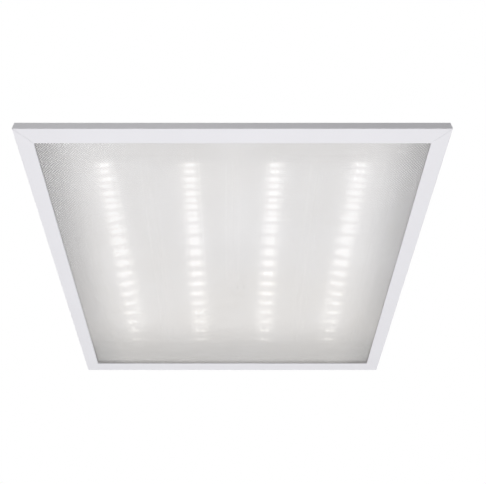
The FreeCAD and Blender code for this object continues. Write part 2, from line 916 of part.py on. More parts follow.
def transformer():
    """A cored coil: a square core with a wound bobbin through it."""
    y = mains_end_y + transformer_from_mains_end
    top = circuit_top + transformer_height
    core = middled(transformer_width, transformer_length / 2, (circuit_top, top), 0.0, y)
    wound = transformer_width - 2 * bobbin_wall
    levels = (circuit_top + bobbin_wall / 2, top - bobbin_wall / 2)
    bobbin = middled(wound, transformer_length, levels, 0.0, y)
    long_edges = [e for e in bobbin.Edges if abs(e.BoundBox.XLength - wound) < 1e-6]
    return joined([core, bobbin.makeChamfer(bobbin_wall / 2, long_edges)])


def capacitors():
    """Two electrolytic capacitors lying across the board."""
    last = driver_end_y - capacitor_from_far_end
    z = circuit_top + capacitor_radius * math.cos(math.pi / ring_side_count)
    ends = (-capacitor_length / 2, capacitor_length / 2)
    places = (last - capacitor_pitch, last)
    return [lying(ring_side_count, capacitor_radius, ends, y, z) for y in places]


def choke():
    """A ring-shaped choke lying on the board, its outer edges chamfered."""
    y = mains_end_y + choke_from_mains_end
    levels = (circuit_top, circuit_top + choke_height)
    ring = prism(ring_side_count, choke_outer_radius, levels, 0.0, y)
    rims = [edge for edge in ring.Edges if edge.BoundBox.ZLength < 1e-6]
    ring = ring.makeChamfer(choke_chamfer, rims)
    around = (levels[0] - margin, levels[1] + margin)
    return ring.cut(prism(ring_side_count, choke_inner_radius, around, 0.0, y))


def pole_places():
    """Where the poles of the terminal block stand."""
    return [(index - (pole_count - 1) / 2) * pole_pitch for index in range(pole_count)]


def terminal_block():
    """The block with a wire hole and a button pocket for each pole."""
    ends = (terminal_front_y, terminal_front_y + terminal_depth)
    half = terminal_width / 2
    body = block((-half, half), ends, (circuit_top, terminal_top))
    front = [e for e in body.Edges if e.BoundBox.ZMin > terminal_top - 1e-6
             and e.BoundBox.YMax < ends[0] + 1e-6]
    body = body.makeChamfer(terminal_chamfer, front)
    pocket_floor = terminal_top - (button_height - button_proud) - button_travel
    levels = (pocket_floor - button_floor_gap, terminal_top + margin)
    cuts = []
    for x in pole_places():
        entry = prism(shank_side_count, pole_hole_radius, (-pole_hole_depth, margin))
        entry.rotate(V(0, 0, 0), V(1, 0, 0), 90)
        entry.translate(V(x, ends[0], circuit_top + pole_hole_height))
        cuts.append(entry)
        width = button_width + 2 * running_gap
        depth = button_depth + 2 * running_gap
        cuts.append(middled(width, depth, levels, x, ends[0] + button_from_front))
    return body.cut(cuts)


def release_button(x):
    """One button that frees a wire when it is pushed down."""
    top = terminal_top + button_proud
    y = terminal_front_y + button_from_front
    return middled(button_width, button_depth, (top - button_height, top), x, y)


def earth_strap():
    """A bent strip from the earth pole down to a screw through the housing into the pan."""
    low = circuit_top + strap_gap
    x_range = (earth_x - strap_width / 2, earth_x + strap_width / 2)
    back = (strap_face_y - strap_thickness, strap_face_y)
    arm = block(x_range, (back[0], terminal_front_y), (low, low + strap_thickness))
    drop = block(x_range, back, (base_floor_top, low + strap_thickness))
    floor = (base_floor_top, base_floor_top + strap_thickness)
    foot = block(x_range, (strap_face_y - strap_foot, strap_face_y), floor)
    around = (floor[0] - margin, floor[1] + margin)
    cutter = hole(earth_screw_radius + screw_gap, around, earth_x, strap_hole_y)
    return joined([arm, drop, foot]).cut(cutter)


def earth_screw():
    """The screw that ties the strap to the pan."""
    size = (earth_head_radius, earth_head_height, earth_screw_radius, earth_screw_length)
    return headed(earth_x, strap_hole_y, base_floor_top + strap_thickness, *size)


# The whole part


def save_frame():
    """Rails, keys and their screws."""
    save("rail_left", fixed_rail(0))
    save("rail_right", fixed_rail(2))
    save("rail_far", fixed_rail(3))
    save("rail_near", end_rail())
    far_left, far_right = mirrored_pair(fixed_key())
    near_left, near_right = mirrored_pair(end_rail_key())
    save("corner_key_far_left", far_left)
    save("corner_key_far_right", far_right)
    save("corner_key_near_left", near_left)
    save("corner_key_near_right", near_right)
    save("key_screws", key_screws())
    save("end_rail_screws", end_rail_screws())
    save("end_rail_nuts", end_rail_nuts())
    save("diffuser", diffuser())


def save_pan():
    """The pan with its seals, screws, light boards and wiring."""
    save("back_pan", back_pan())
    save("seal_strips", seal_strips())
    save("pan_screws", pan_screws())
    for index, x in enumerate(strip_places):
        save(f"led_board_{index + 1}", light_board(x))
        save(f"leds_{index + 1}", lights(x))
    save("board_rivets", [rivet(*place) for place in rivet_places()])
    save("board_connectors", [connector(*place) for place in connector_places()])
    save("positive_wires", wires(1))
    save("negative_wires", wires(-1))
    save("feed_grommet", feed_grommet())


def save_driver():
    """The driver's housing and what it holds."""
    save("driver_base", driver_base())
    save("driver_cover", driver_cover())
    save("terminal_cover", terminal_cover())
    save("hinge_pin", hinge_pin())
    save("cord_clamp", cord_clamp())
    save("clamp_screws", clamp_screws())
    save("driver_screws", driver_screws())
    save("driver_board", driver_board())
    save("transformer", transformer())
    save("capacitors", capacitors())
    save("choke", choke())
    save("terminal_block", terminal_block())
    for index, x in enumerate(pole_places()):
        save(f"release_button_{index + 1}", release_button(x))
    save("earth_strap", earth_strap())
    save("earth_screw", earth_screw())


os.makedirs("parts", exist_ok=True)
save_frame()
save_pan()
save_driver()
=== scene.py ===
import math

import bmesh
import bpy
from mathutils import Matrix, Vector
from mathutils.geometry import tessellate_polygon


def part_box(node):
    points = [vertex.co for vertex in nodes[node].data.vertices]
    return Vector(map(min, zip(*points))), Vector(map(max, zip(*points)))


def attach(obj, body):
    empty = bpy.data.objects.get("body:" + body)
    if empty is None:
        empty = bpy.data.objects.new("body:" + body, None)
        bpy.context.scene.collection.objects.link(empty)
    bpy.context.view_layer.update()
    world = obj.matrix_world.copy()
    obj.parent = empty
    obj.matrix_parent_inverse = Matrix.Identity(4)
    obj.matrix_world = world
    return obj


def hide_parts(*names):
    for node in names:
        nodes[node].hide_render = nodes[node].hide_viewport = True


# A back-lit ceiling panel: white rim, micro-prism sheet, pressed back pan with four rows of lights, and a
# driver on its back. Metres, +Z up into the ceiling, -Y towards the removable end rail.

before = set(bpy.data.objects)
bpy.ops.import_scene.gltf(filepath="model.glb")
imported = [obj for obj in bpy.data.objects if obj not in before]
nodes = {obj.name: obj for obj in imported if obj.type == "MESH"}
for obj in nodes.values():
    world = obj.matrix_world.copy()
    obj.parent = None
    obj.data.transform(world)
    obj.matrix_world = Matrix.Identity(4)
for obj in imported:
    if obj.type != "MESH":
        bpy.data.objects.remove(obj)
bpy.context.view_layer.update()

# Sizes of the panel, as in its solids
rim_height = 0.0144
sheet_low, sheet_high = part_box("diffuser")
board_bottom = 0.0248
pan_inner_top = 0.0258
pan_outer_top = 0.0264
flange_top = 0.0154
strip_pitch = 0.127
strip_places = (-0.1905, -0.0635, 0.0635, 0.1905)
light_count = 16
light_pitch = 0.028
light_plane = 0.024
chamber_reach = 0.2836
channel_reach = 0.2965
channel_low = 0.0046
channel_high = 0.0135
prism_depth = 0.0005
prism_cells = 268
rivet_step = 7 * light_pitch
connector_y = 0.228
connector_half_x = 0.0040
wire_radius = 0.0007
wire_bend = 0.004
wire_sides = 14
key_line = 0.2912
key_along = 0.2775
screw_line = 0.28975
screw_reach = 0.230
nut_seat = 0.0081
ear_places = ((0.015, 0.079), (-0.015, 0.249))
clamp_place = (0.013, 0.093)
circuit_bottom = 0.0322
ear_seat = 0.0289
clamp_seat = 0.0402
earth_place = (0.008, 0.10075, 0.0290)
transformer_middle = 0.168


# Node trees


def feed(tree, target, value):
    """Links a socket to an input, or sets the input's own number or colour."""
    if isinstance(value, bpy.types.NodeSocket):
        tree.links.new(value, target)
    else:
        target.default_value = value


def put(tree, kind, inputs=None, **settings):
    """A new node with its choices made and its inputs fed."""
    node = tree.nodes.new(kind)
    for name, value in settings.items():
        setattr(node, name, value)
    for key, value in (inputs or {}).items():
        feed(tree, node.inputs[key], value)
    return node


def calc(tree, operation, *values):
    """One step of arithmetic."""
    node = put(tree, "ShaderNodeMath", dict(enumerate(values)), operation=operation)
    return node.outputs[0]


def times(tree, first, *others):
    """The product of several values."""
    for other in others:
        first = calc(tree, "MULTIPLY", first, other)
    return first


def parts_of(tree, vector):
    """The X, Y and Z of a vector."""
    return put(tree, "ShaderNodeSeparateXYZ", {0: vector}).outputs


def own_normal(tree):
    """The X, Y and Z of the direction that the surface faces."""
    return parts_of(tree, tree.nodes.new("ShaderNodeTexCoord").outputs["Normal"])


def ramp(tree, value, start, end, low=0.0, high=1.0):
    """A smooth step from low to high as the value goes from start to end."""
    inputs = {0: value, 1: start, 2: end, 3: low, 4: high}
    return put(tree, "ShaderNodeMapRange", inputs, interpolation_type="SMOOTHSTEP").outputs[0]


def mixed(tree, share, first, second):
    """A colour between two colours."""
    node = put(tree, "ShaderNodeMix", {0: share, 6: first, 7: second}, data_type="RGBA")
    return node.outputs[2]


def mottle(tree, place, scale, detail=2.0, stretch=None):
    """Noise about 0.5, on the piece's own coordinates."""
    if stretch is not None:
        place = put(tree, "ShaderNodeMapping", {0: place, 3: stretch}).outputs[0]
    inputs = {"Vector": place, "Scale": scale, "Detail": detail}
    return put(tree, "ShaderNodeTexNoise", inputs).outputs["Fac"]


def cells_of(tree, place, scale, **settings):
    """How far each point is from the middle of its cell."""
    inputs = {"Vector": place, "Scale": scale}
    return put(tree, "ShaderNodeTexVoronoi", inputs, **settings).outputs["Distance"]


def grey(value, tint=(1.0, 1.0, 1.0)):
    """A colour of one lightness, leaning to a tint."""
    return (value * tint[0], value * tint[1], value * tint[2], 1.0)


def effect(name, inputs, outputs):
    """An empty node group for materials, with its named inputs and outputs."""
    tree = bpy.data.node_groups.new(name, "ShaderNodeTree")
    for label, kind, value in inputs:
        made = tree.interface.new_socket(label, in_out="INPUT", socket_type="NodeSocket" + kind)
        if value is not None:
            made.default_value = value
    for label, kind in outputs:
        tree.interface.new_socket(label, in_out="OUTPUT", socket_type="NodeSocket" + kind)
    given = tree.nodes.new("NodeGroupInput").outputs
    wanted = tree.nodes.new("NodeGroupOutput").inputs
    return tree, given, wanted


def use(tree, group, **inputs):
    """One of the effects, placed in a material with its own values."""
    node = put(tree, "ShaderNodeGroup", node_tree=group)
    for label, value in inputs.items():
        feed(tree, node.inputs[label.replace("_", " ")], value)
    return node.outputs


def surface(name, **fixed):
    """A new material: its tree, its shader and the place on the piece. Fixed values go on the shader."""
    material = bpy.data.materials.new(name)
    material.use_nodes = True
    tree = material.node_tree
    tree.nodes.clear()
    shader = tree.nodes.new("ShaderNodeBsdfPrincipled")
    output = tree.nodes.new("ShaderNodeOutputMaterial")
    tree.links.new(shader.outputs[0], output.inputs[0])
    for label, value in fixed.items():
        shader.inputs[label.replace("_", " ")].default_value = value
    place = tree.nodes.new("ShaderNodeTexCoord").outputs["Object"]
    return material, tree, shader.inputs, place


def raise_by(tree, height, distance, strength=1.0):
    """A bumped normal."""
    inputs = {"Height": height, "Distance": distance, "Strength": strength}
    return put(tree, "ShaderNodeBump", inputs).outputs[0]


# Effects that several finishes share


def make_coat_grain():
    """Powder coat: a fine orange peel and a faint drift of tone."""
    inputs = [("Place", "Vector", None), ("Grain", "Float", 900.0), ("Drift", "Float", 9.0)]
    outputs = [("Height", "Float"), ("Tone", "Float"), ("Shine", "Float")]
    tree, given, wanted = effect("coat grain", inputs, outputs)
    peel = mottle(tree, given["Place"], given["Grain"], 1.0)
    fine = mottle(tree, given["Place"], calc(tree, "MULTIPLY", given["Grain"], 3.1), 2.0)
    drift = mottle(tree, given["Place"], given["Drift"], 3.0)
    feed(tree, wanted["Height"], calc(tree, "MULTIPLY_ADD", fine, 0.35, peel))
    feed(tree, wanted["Tone"], calc(tree, "MULTIPLY_ADD", peel, 0.3, drift))
    feed(tree, wanted["Shine"], calc(tree, "MULTIPLY_ADD", fine, 0.5, drift))
    return tree


def make_settled_dust():
    """Dust that has settled on what faces up, thicker in patches."""
    inputs = [("Place", "Vector", None), ("Up", "Float", 0.0), ("Amount", "Float", 0.5)]
    tree, given, wanted = effect("settled dust", inputs, [("Mask", "Float")])
    patches = ramp(tree, mottle(tree, given["Place"], 26.0, 6.0), 0.42, 0.75)
    specks = ramp(tree, mottle(tree, given["Place"], 1700.0, 1.0), 0.56, 0.70)
    both = calc(tree, "MULTIPLY_ADD", patches, 0.7, calc(tree, "MULTIPLY", specks, 0.6))
    facing = ramp(tree, given["Up"], 0.3, 0.95)
    feed(tree, wanted["Mask"], times(tree, both, facing, given["Amount"]))
    return tree


def make_brushed_lines():
    """Fine lines along one direction, for rolled and plated steel."""
    inputs = [("Place", "Vector", None), ("Stretch", "Vector", (60.0, 1800.0, 1800.0))]
    tree, given, wanted = effect("brushed lines", inputs, [("Height", "Float"), ("Tone", "Float")])
    stretched = {0: given["Place"], 1: given["Stretch"]}
    scaled = put(tree, "ShaderNodeVectorMath", stretched, operation="MULTIPLY").outputs[0]
    lines = mottle(tree, scaled, 1.0, 3.0)
    cloud = mottle(tree, given["Place"], 60.0, 3.0)
    feed(tree, wanted["Height"], lines)
    tone = calc(tree, "MULTIPLY_ADD", lines, 0.6, calc(tree, "MULTIPLY", cloud, 0.4))
    feed(tree, wanted["Tone"], tone)
    return tree


def make_spark_grain():
    """The fine even grain of a moulded housing, with faint flow marks."""
    inputs = [("Place", "Vector", None), ("Grain", "Float", 2600.0)]
    outputs = [("Height", "Float"), ("Tone", "Float")]
    tree, given, wanted = effect("spark grain", inputs, outputs)
    cells = cells_of(tree, given["Place"], given["Grain"])
    flow = mottle(tree, given["Place"], 30.0, 4.0, (1.0, 0.25, 1.0))
    feed(tree, wanted["Height"], cells)
    feed(tree, wanted["Tone"], calc(tree, "MULTIPLY_ADD", cells, 0.25, flow))
    return tree


def from_middle(tree, value, pitch):
    """How far a coordinate is from the middle of the pitch-wide field that it lies in."""
    share = calc(tree, "FRACT", calc(tree, "DIVIDE", value, pitch))
    return calc(tree, "MULTIPLY", calc(tree, "ABSOLUTE", calc(tree, "SUBTRACT", share, 0.5)), pitch)


def make_painted_chamber_glow():
    """Painted light inside the chamber, in place of the lights' own light: a little stronger in the far half
    and at the strips, weaker at the edges (painted shade).
    """
    inputs = [
        ("Place", "Vector", None),
        ("Level", "Float", 0.7),
        ("Halo", "Float", 0.1),
        ("Spot", "Float", 0.0),
        ("Side Level", "Float", 0.62),
        ("Far Level", "Float", 0.66),
        ("Near Level", "Float", 0.90),
        ("Far Lift", "Float", 1.065),
    ]
    halo_reach = 0.036
    spot_half_width = 0.0155
    spot_half_length = 0.0075
    tree, given, wanted = effect("painted chamber glow", inputs, [("Glow", "Color")])
    axes = parts_of(tree, given["Place"])
    across = calc(tree, "ABSOLUTE", axes[0])
    # Painted shade: the glow falls off towards the sides and both ends, and is lifted a little in the far
    # half.
    side = ramp(tree, across, 0.215, 0.305, 1.0, given["Side Level"])
    far = ramp(tree, axes[1], 0.185, 0.300, 1.0, given["Far Level"])
    near = ramp(tree, axes[1], -0.175, -0.270, 1.0, given["Near Level"])
    lift = ramp(tree, axes[1], -0.07, 0.05, 1.0, given["Far Lift"])
    even = times(tree, side, far, near, lift, given["Level"])
    # Painted pools of light: a soft halo along each strip and a spot at each light, fading out before the
    # strips' ends.
    off_strip = from_middle(tree, axes[0], strip_pitch)
    halo = times(tree, ramp(tree, off_strip, 0.0, halo_reach, 1.0, 0.0), given["Halo"])
    ends = ramp(tree, calc(tree, "ABSOLUTE", axes[1]), 0.213, 0.224, 1.0, 0.0)
    wide = calc(tree, "DIVIDE", off_strip, spot_half_width)
    long = calc(tree, "DIVIDE", from_middle(tree, axes[1], light_pitch), spot_half_length)
    reach = calc(tree, "SQRT", calc(tree, "ADD", times(tree, wide, wide), times(tree, long, long)))
    spot = times(tree, ramp(tree, reach, 0.0, 1.0, 1.0, 0.0), given["Spot"])
    lights = times(tree, calc(tree, "ADD", halo, spot), ends)
    level = calc(tree, "ADD", even, lights)
    # Painted tint: the glow is a little warmer towards the far end.
    warm = ramp(tree, axes[1], -0.12, 0.28)
    tint = mixed(tree, warm, grey(1.0, (1.0, 0.985, 0.988)), grey(1.0, (1.0, 0.971, 0.948)))
    glow = put(tree, "ShaderNodeVectorMath", {0: tint, "Scale": level}, operation="SCALE").outputs[0]
    feed(tree, wanted["Glow"], glow)
    return tree


coat_grain = make_coat_grain()
settled_dust = make_settled_dust()
brushed_lines = make_brushed_lines()
spark_grain = make_spark_grain()
painted_chamber_glow = make_painted_chamber_glow()
# Levels of the painted glow on the pan's inside and on the boards.
lit_ceiling = {"Level": 0.664, "Halo": 0.085, "Spot": 0.53}
dust_colour = grey(0.55, (1.05, 1.0, 0.93))


# Finishes, several with a painted glow inside the chamber


def inside_mask(tree, place):
    """1 on faces inside the lit chamber that look down, where the painted glow goes, 0 elsewhere, and how far
    each face looks up.
    """
    up = own_normal(tree)[2]
    axes = parts_of(tree, place)
    down = calc(tree, "LESS_THAN", up, -0.3)
    in_x = calc(tree, "LESS_THAN", calc(tree, "ABSOLUTE", axes[0]), chamber_reach)
    in_y = calc(tree, "LESS_THAN", calc(tree, "ABSOLUTE", axes[1]), chamber_reach)
    return times(tree, down, in_x, in_y), up


def channel_mask(tree, place):
    """1 on the rim's inner channel, above the sheet, which the lights reach: where the rim gets its dark base
    and painted glow.
    """
    axes = parts_of(tree, place)
    reach = calc(tree, "MAXIMUM", calc(tree, "ABSOLUTE", axes[0]), calc(tree, "ABSOLUTE", axes[1]))
    within = calc(tree, "LESS_THAN", reach, channel_reach)
    above = calc(tree, "GREATER_THAN", axes[2], channel_low)
    below = calc(tree, "LESS_THAN", axes[2], channel_high)
    return times(tree, within, above, below)


def rim_coat_and_painted_glow():
    """Satin white powder coat on the rim's extrusion, with a dark base and a painted glow, in place of the
    lights' light, on its inner channel.
    """
    material, tree, shader, place = surface("rim coat and painted glow", IOR=1.5, Emission_Strength=1.0)
    grain = use(tree, coat_grain, Place=place, Grain=1100.0, Drift=7.0)
    tone = ramp(tree, grain["Tone"], 0.3, 1.0)
    coat = mixed(tree, tone, grey(0.84, (1.0, 0.992, 1.035)), grey(0.87, (1.0, 0.992, 1.035)))
    # The inner channel: a dark base under a painted glow in place of the lights' light.
    channel = channel_mask(tree, place)
    feed(tree, shader["Base Color"], mixed(tree, channel, coat, grey(0.12)))
    glow = use(tree, painted_chamber_glow, Place=place, Level=0.68, Halo=0.0)["Glow"]
    feed(tree, shader["Emission Color"], mixed(tree, channel, grey(0.0), glow))
    feed(tree, shader["Roughness"], ramp(tree, grain["Shine"], 0.2, 1.2, 0.42, 0.56))
    feed(tree, shader["Normal"], raise_by(tree, grain["Height"], 0.00002, 0.5))
    return material


def pan_coat_and_painted_glow():
    """White coat on the pressed pan: dusty outside; inside, a dark base under a painted glow in place of the
    lights' light.
    """
    material, tree, shader, place = surface("pan coat and painted glow", IOR=1.5, Emission_Strength=1.0)
    grain = use(tree, coat_grain, Place=place, Grain=800.0, Drift=5.0)
    inside, up = inside_mask(tree, place)
    dust = use(tree, settled_dust, Place=place, Up=up, Amount=0.24)["Mask"]
    tone = ramp(tree, grain["Tone"], 0.3, 1.0)
    coat = mixed(tree, tone, grey(0.80, (1.0, 1.0, 1.02)), grey(0.84, (1.0, 1.0, 1.02)))
    coat = mixed(tree, dust, coat, dust_colour)
    # Inside the chamber the white coat is replaced by a dark base, under the painted glow.
    feed(tree, shader["Base Color"], mixed(tree, inside, coat, grey(0.12)))
    rough = ramp(tree, grain["Shine"], 0.2, 1.2, 0.40, 0.55)
    feed(tree, shader["Roughness"], calc(tree, "MULTIPLY_ADD", dust, 0.3, rough))
    feed(tree, shader["Normal"], raise_by(tree, grain["Height"], 0.00003, 0.5))
    # Painted glow on the pan's inside, in place of the lights' light.
    glow = use(tree, painted_chamber_glow, Place=place, **lit_ceiling)["Glow"]
    feed(tree, shader["Emission Color"], mixed(tree, inside, grey(0.0), glow))
    return material


def painted_glow_finish(name, base, level, halo, grain_size=1500.0):
    """A pale piece; where it is inside the chamber it gets a dark base and a painted glow in place of the
    lights' light.
    """
    material, tree, shader, place = surface(name, IOR=1.5, Emission_Strength=1.0)
    grain = use(tree, spark_grain, Place=place, Grain=grain_size)
    tone = ramp(tree, grain["Tone"], 0.3, 0.9)
    height = parts_of(tree, place)[2]
    inside = calc(tree, "LESS_THAN", height, pan_inner_top)
    # lit is the dark base under the painted glow, used inside the chamber; outside, the piece keeps its pale
    # grey.
    lit = mixed(tree, tone, grey(base * 0.92), grey(base))
    feed(tree, shader["Base Color"], mixed(tree, inside, mixed(tree, tone, grey(0.68), grey(0.74)), lit))
    feed(tree, shader["Roughness"], ramp(tree, grain["Tone"], 0.3, 0.9, 0.38, 0.5))
    feed(tree, shader["Normal"], raise_by(tree, grain["Height"], 0.00001, 0.4))
    # Painted glow, only inside the chamber.
    glow = use(tree, painted_chamber_glow, Place=place, Level=level, Halo=halo)["Glow"]
    feed(tree, shader["Emission Color"], mixed(tree, inside, grey(0.0), glow))
    return material


def board_mask_and_painted_glow():
    """White solder mask over faint copper tracks, shown as a dark base under a painted glow in place of the
    light of the lights that it carries.
    """
    material, tree, shader, place = surface("board mask and painted glow", IOR=1.5, Emission_Strength=1.0)
    axes = parts_of(tree, place)
    off_strip = from_middle(tree, axes[0], strip_pitch)
    off_light = from_middle(tree, axes[1], light_pitch)
    inner = ramp(tree, off_strip, 0.0040, 0.0042)
    outer = ramp(tree, off_strip, 0.0072, 0.0070)
    gap = ramp(tree, off_light, 0.0136, 0.0133)
    copper = times(tree, inner, outer, gap)
    grain = use(tree, spark_grain, Place=place, Grain=1900.0)
    tone = ramp(tree, grain["Tone"], 0.3, 0.9)
    # The white solder mask is given a dark base, under the painted glow.
    mask = mixed(tree, tone, grey(0.13), grey(0.15))
    mask = mixed(tree, calc(tree, "MULTIPLY", copper, 0.5), mask, grey(0.12, (1.05, 1.0, 0.9)))
    feed(tree, shader["Base Color"], mask)
    feed(tree, shader["Roughness"], ramp(tree, grain["Tone"], 0.3, 0.9, 0.3, 0.4))
    height = calc(tree, "MULTIPLY_ADD", grain["Height"], 0.2, copper)
    feed(tree, shader["Normal"], raise_by(tree, height, 0.00003, 0.5))
    # Painted glow, painted a little dimmer over the copper tracks.
    glow = use(tree, painted_chamber_glow, Place=place, **lit_ceiling)["Glow"]
    dim = mixed(tree, calc(tree, "MULTIPLY", copper, 0.05), glow, grey(0.5))
    feed(tree, shader["Emission Color"], dim)
    return material


def prism_plastic():
    """Clear sheet with a micro-prism face, with painted shade on its outward-facing facets near the sides."""
    fixed = {"IOR": 1.5, "Transmission_Weight": 1.0, "Roughness": 0.12}
    material, tree, shader, place = surface("prism plastic", **fixed)
    haze = ramp(tree, mottle(tree, place, 6.0, 3.0), 0.3, 0.7)
    clear = mixed(tree, haze, grey(0.955, (1.0, 0.995, 0.985)), grey(0.975))
    # Painted shade: outward-facing facets near the sides are darkened, more towards the near edge.
    axes = parts_of(tree, place)
    outward = times(tree, own_normal(tree)[0], calc(tree, "SIGN", axes[0]))
    share = ramp(tree, outward, 0.12, 0.20)
    side = ramp(tree, calc(tree, "ABSOLUTE", axes[0]), 0.19, 0.274)
    near = ramp(tree, axes[1], 0.24, -0.25, 0.30, 1.0)
    shade = times(tree, share, side, near)
    feed(tree, shader["Base Color"], mixed(tree, shade, clear, grey(0.38, (0.98, 0.98, 1.04))))
    return material


def light_body():
    """The white housing of one light, with a dark base and a painted glow."""
    return painted_glow_finish("light body with painted glow", 0.16, 1.0, 0.2)


def light_window():
    """The lit phosphor window of one light."""
    material, tree, shader, place = surface("lit phosphor", Emission_Strength=3.0)
    cells = mottle(tree, place, 2500.0, 2.0)
    yellow = mixed(tree, cells, grey(0.82, (1.0, 0.93, 0.62)), grey(0.88, (1.0, 0.95, 0.70)))
    feed(tree, shader["Base Color"], yellow)
    feed(tree, shader["Emission Color"], mixed(tree, cells, grey(0.94, (1.0, 0.985, 0.96)), grey(1.0)))
    feed(tree, shader["Roughness"], ramp(tree, cells, 0.3, 0.7, 0.4, 0.6))
    return material


def plated_steel(name, value, tint, stretch, rough=0.32):
    """Zinc plate: bright, with fine lines and a faint cloud of passivation."""
    material, tree, shader, place = surface(name, Metallic=1.0)
    lines = use(tree, brushed_lines, Place=place, Stretch=stretch)
    tone = ramp(tree, lines["Tone"], 0.3, 0.7)
    feed(tree, shader["Base Color"], mixed(tree, tone, grey(value * 0.86, tint), grey(value)))
    feed(tree, shader["Roughness"], ramp(tree, lines["Tone"], 0.3, 0.7, rough, rough + 0.14))
    feed(tree, shader["Normal"], raise_by(tree, lines["Height"], 0.00001, 0.4))
    return material


def moulded(name, colour, rough=0.5, grain_size=2600.0, dusty=0.0):
    """Moulded plastic with its spark-eroded grain."""
    material, tree, shader, place = surface(name, IOR=1.5)
    grain = use(tree, spark_grain, Place=place, Grain=grain_size)
    tone = ramp(tree, grain["Tone"], 0.3, 0.9)
    dark = tuple(channel * 0.93 for channel in colour[:3]) + (1.0,)
    base = mixed(tree, tone, dark, colour)
    roughness = ramp(tree, grain["Tone"], 0.3, 0.9, rough - 0.05, rough + 0.07)
    if dusty:
        dust = use(tree, settled_dust, Place=place, Up=own_normal(tree)[2], Amount=dusty)["Mask"]
        base = mixed(tree, dust, base, dust_colour)
        roughness = calc(tree, "MULTIPLY_ADD", dust, 0.3, roughness)
    feed(tree, shader["Base Color"], base)
    feed(tree, shader["Roughness"], roughness)
    feed(tree, shader["Normal"], raise_by(tree, grain["Height"], 0.00002, 0.5))
    return material


def seal_foam():
    """Dark closed-cell foam."""
    material, tree, shader, place = surface("seal foam")
    cells = cells_of(tree, place, 1600.0)
    feed(tree, shader["Base Color"], mixed(tree, cells, grey(0.025), grey(0.06)))
    feed(tree, shader["Roughness"], ramp(tree, cells, 0.0, 1.0, 0.8, 0.95))
    feed(tree, shader["Normal"], raise_by(tree, cells, 0.0001, 0.8))
    return material


def circuit_green():
    """Green solder mask over copper tracks, with bright pads."""
    material, tree, shader, place = surface("circuit green", IOR=1.5)
    flat = put(tree, "ShaderNodeMapping", {0: place, 3: (1.0, 0.6, 0.0)}).outputs[0]
    fields = cells_of(tree, flat, 230.0, distance="MANHATTAN", feature="F1")
    edges = cells_of(tree, flat, 230.0, distance="MANHATTAN", feature="F2")
    reach = calc(tree, "SUBTRACT", edges, fields)
    track = ramp(tree, reach, 0.10, 0.16)
    pad = ramp(tree, fields, 0.10, 0.07)
    green = mixed(tree, track, (0.012, 0.10, 0.035, 1.0), (0.025, 0.20, 0.07, 1.0))
    feed(tree, shader["Base Color"], mixed(tree, pad, green, (0.62, 0.60, 0.55, 1.0)))
    feed(tree, shader["Metallic"], pad)
    feed(tree, shader["Roughness"], ramp(tree, pad, 0.0, 1.0, 0.28, 0.38))
    feed(tree, shader["Normal"], raise_by(tree, calc(tree, "ADD", track, pad), 0.00004, 0.6))
    return material


def wound_tape():
    """Yellow tape in overlapping turns round a dark core."""
    material, tree, shader, place = surface("wound tape", IOR=1.5)
    axes = parts_of(tree, place)
    off = calc(tree, "ABSOLUTE", calc(tree, "SUBTRACT", axes[1], transformer_middle))
    core = ramp(tree, off, 0.0062, 0.0060)
    wave = {"Vector": place, "Scale": 110.0, "Distortion": 0.6}
    turns = put(tree, "ShaderNodeTexWave", wave, bands_direction="Z").outputs["Fac"]
    tape = mixed(tree, turns, (0.55, 0.36, 0.03, 1.0), (0.70, 0.48, 0.06, 1.0))
    speck = mixed(tree, mottle(tree, place, 1400.0, 2.0), grey(0.05), grey(0.10))
    feed(tree, shader["Base Color"], mixed(tree, core, tape, speck))
    feed(tree, shader["Roughness"], ramp(tree, core, 0.0, 1.0, 0.35, 0.7))
    feed(tree, shader["Normal"], raise_by(tree, turns, 0.00005, 0.5))
    return material


def shrunk_sleeve():
    """Dark glossy sleeve shrunk over a can, with bare metal ends."""
    material, tree, shader, place = surface("shrunk sleeve", IOR=1.5)
    axes = parts_of(tree, place)
    end = ramp(tree, calc(tree, "ABSOLUTE", axes[0]), 0.00985, 0.00995)
    creases = mottle(tree, place, 300.0, 3.0, (0.2, 1.0, 1.0))
    sleeve = mixed(tree, creases, (0.012, 0.016, 0.035, 1.0), (0.022, 0.03, 0.06, 1.0))
    feed(tree, shader["Base Color"], mixed(tree, end, sleeve, grey(0.55)))
    feed(tree, shader["Metallic"], end)
    feed(tree, shader["Roughness"], ramp(tree, end, 0.0, 1.0, 0.25, 0.4))
    feed(tree, shader["Normal"], raise_by(tree, creases, 0.00005, 0.5))
    return material


def enamelled_copper():
    """Enamelled copper wire."""
    fixed = {"Metallic": 1.0, "Coat_Weight": 0.6, "Coat_Roughness": 0.12}
    material, tree, shader, place = surface("enamelled copper", **fixed)
    drift = mottle(tree, place, 400.0, 3.0)
    feed(tree, shader["Base Color"], mixed(tree, drift, (0.55, 0.20, 0.07, 1.0), (0.72, 0.30, 0.12, 1.0)))
    feed(tree, shader["Roughness"], ramp(tree, drift, 0.3, 0.7, 0.25, 0.4))
    return material


# Pieces


def object_of(name, mesh, material=None):
    """A shown object for a mesh, at the origin."""
    piece = bpy.data.objects.new(name, mesh)
    bpy.context.scene.collection.objects.link(piece)
    if material is not None:
        mesh.materials.clear()
        mesh.materials.append(material)
    return piece


def mesh_of(name, form):
    """A plain mesh from a bmesh, which is then freed."""
    mesh = bpy.data.meshes.new(name)
    form.to_mesh(mesh)
    form.free()
    return mesh


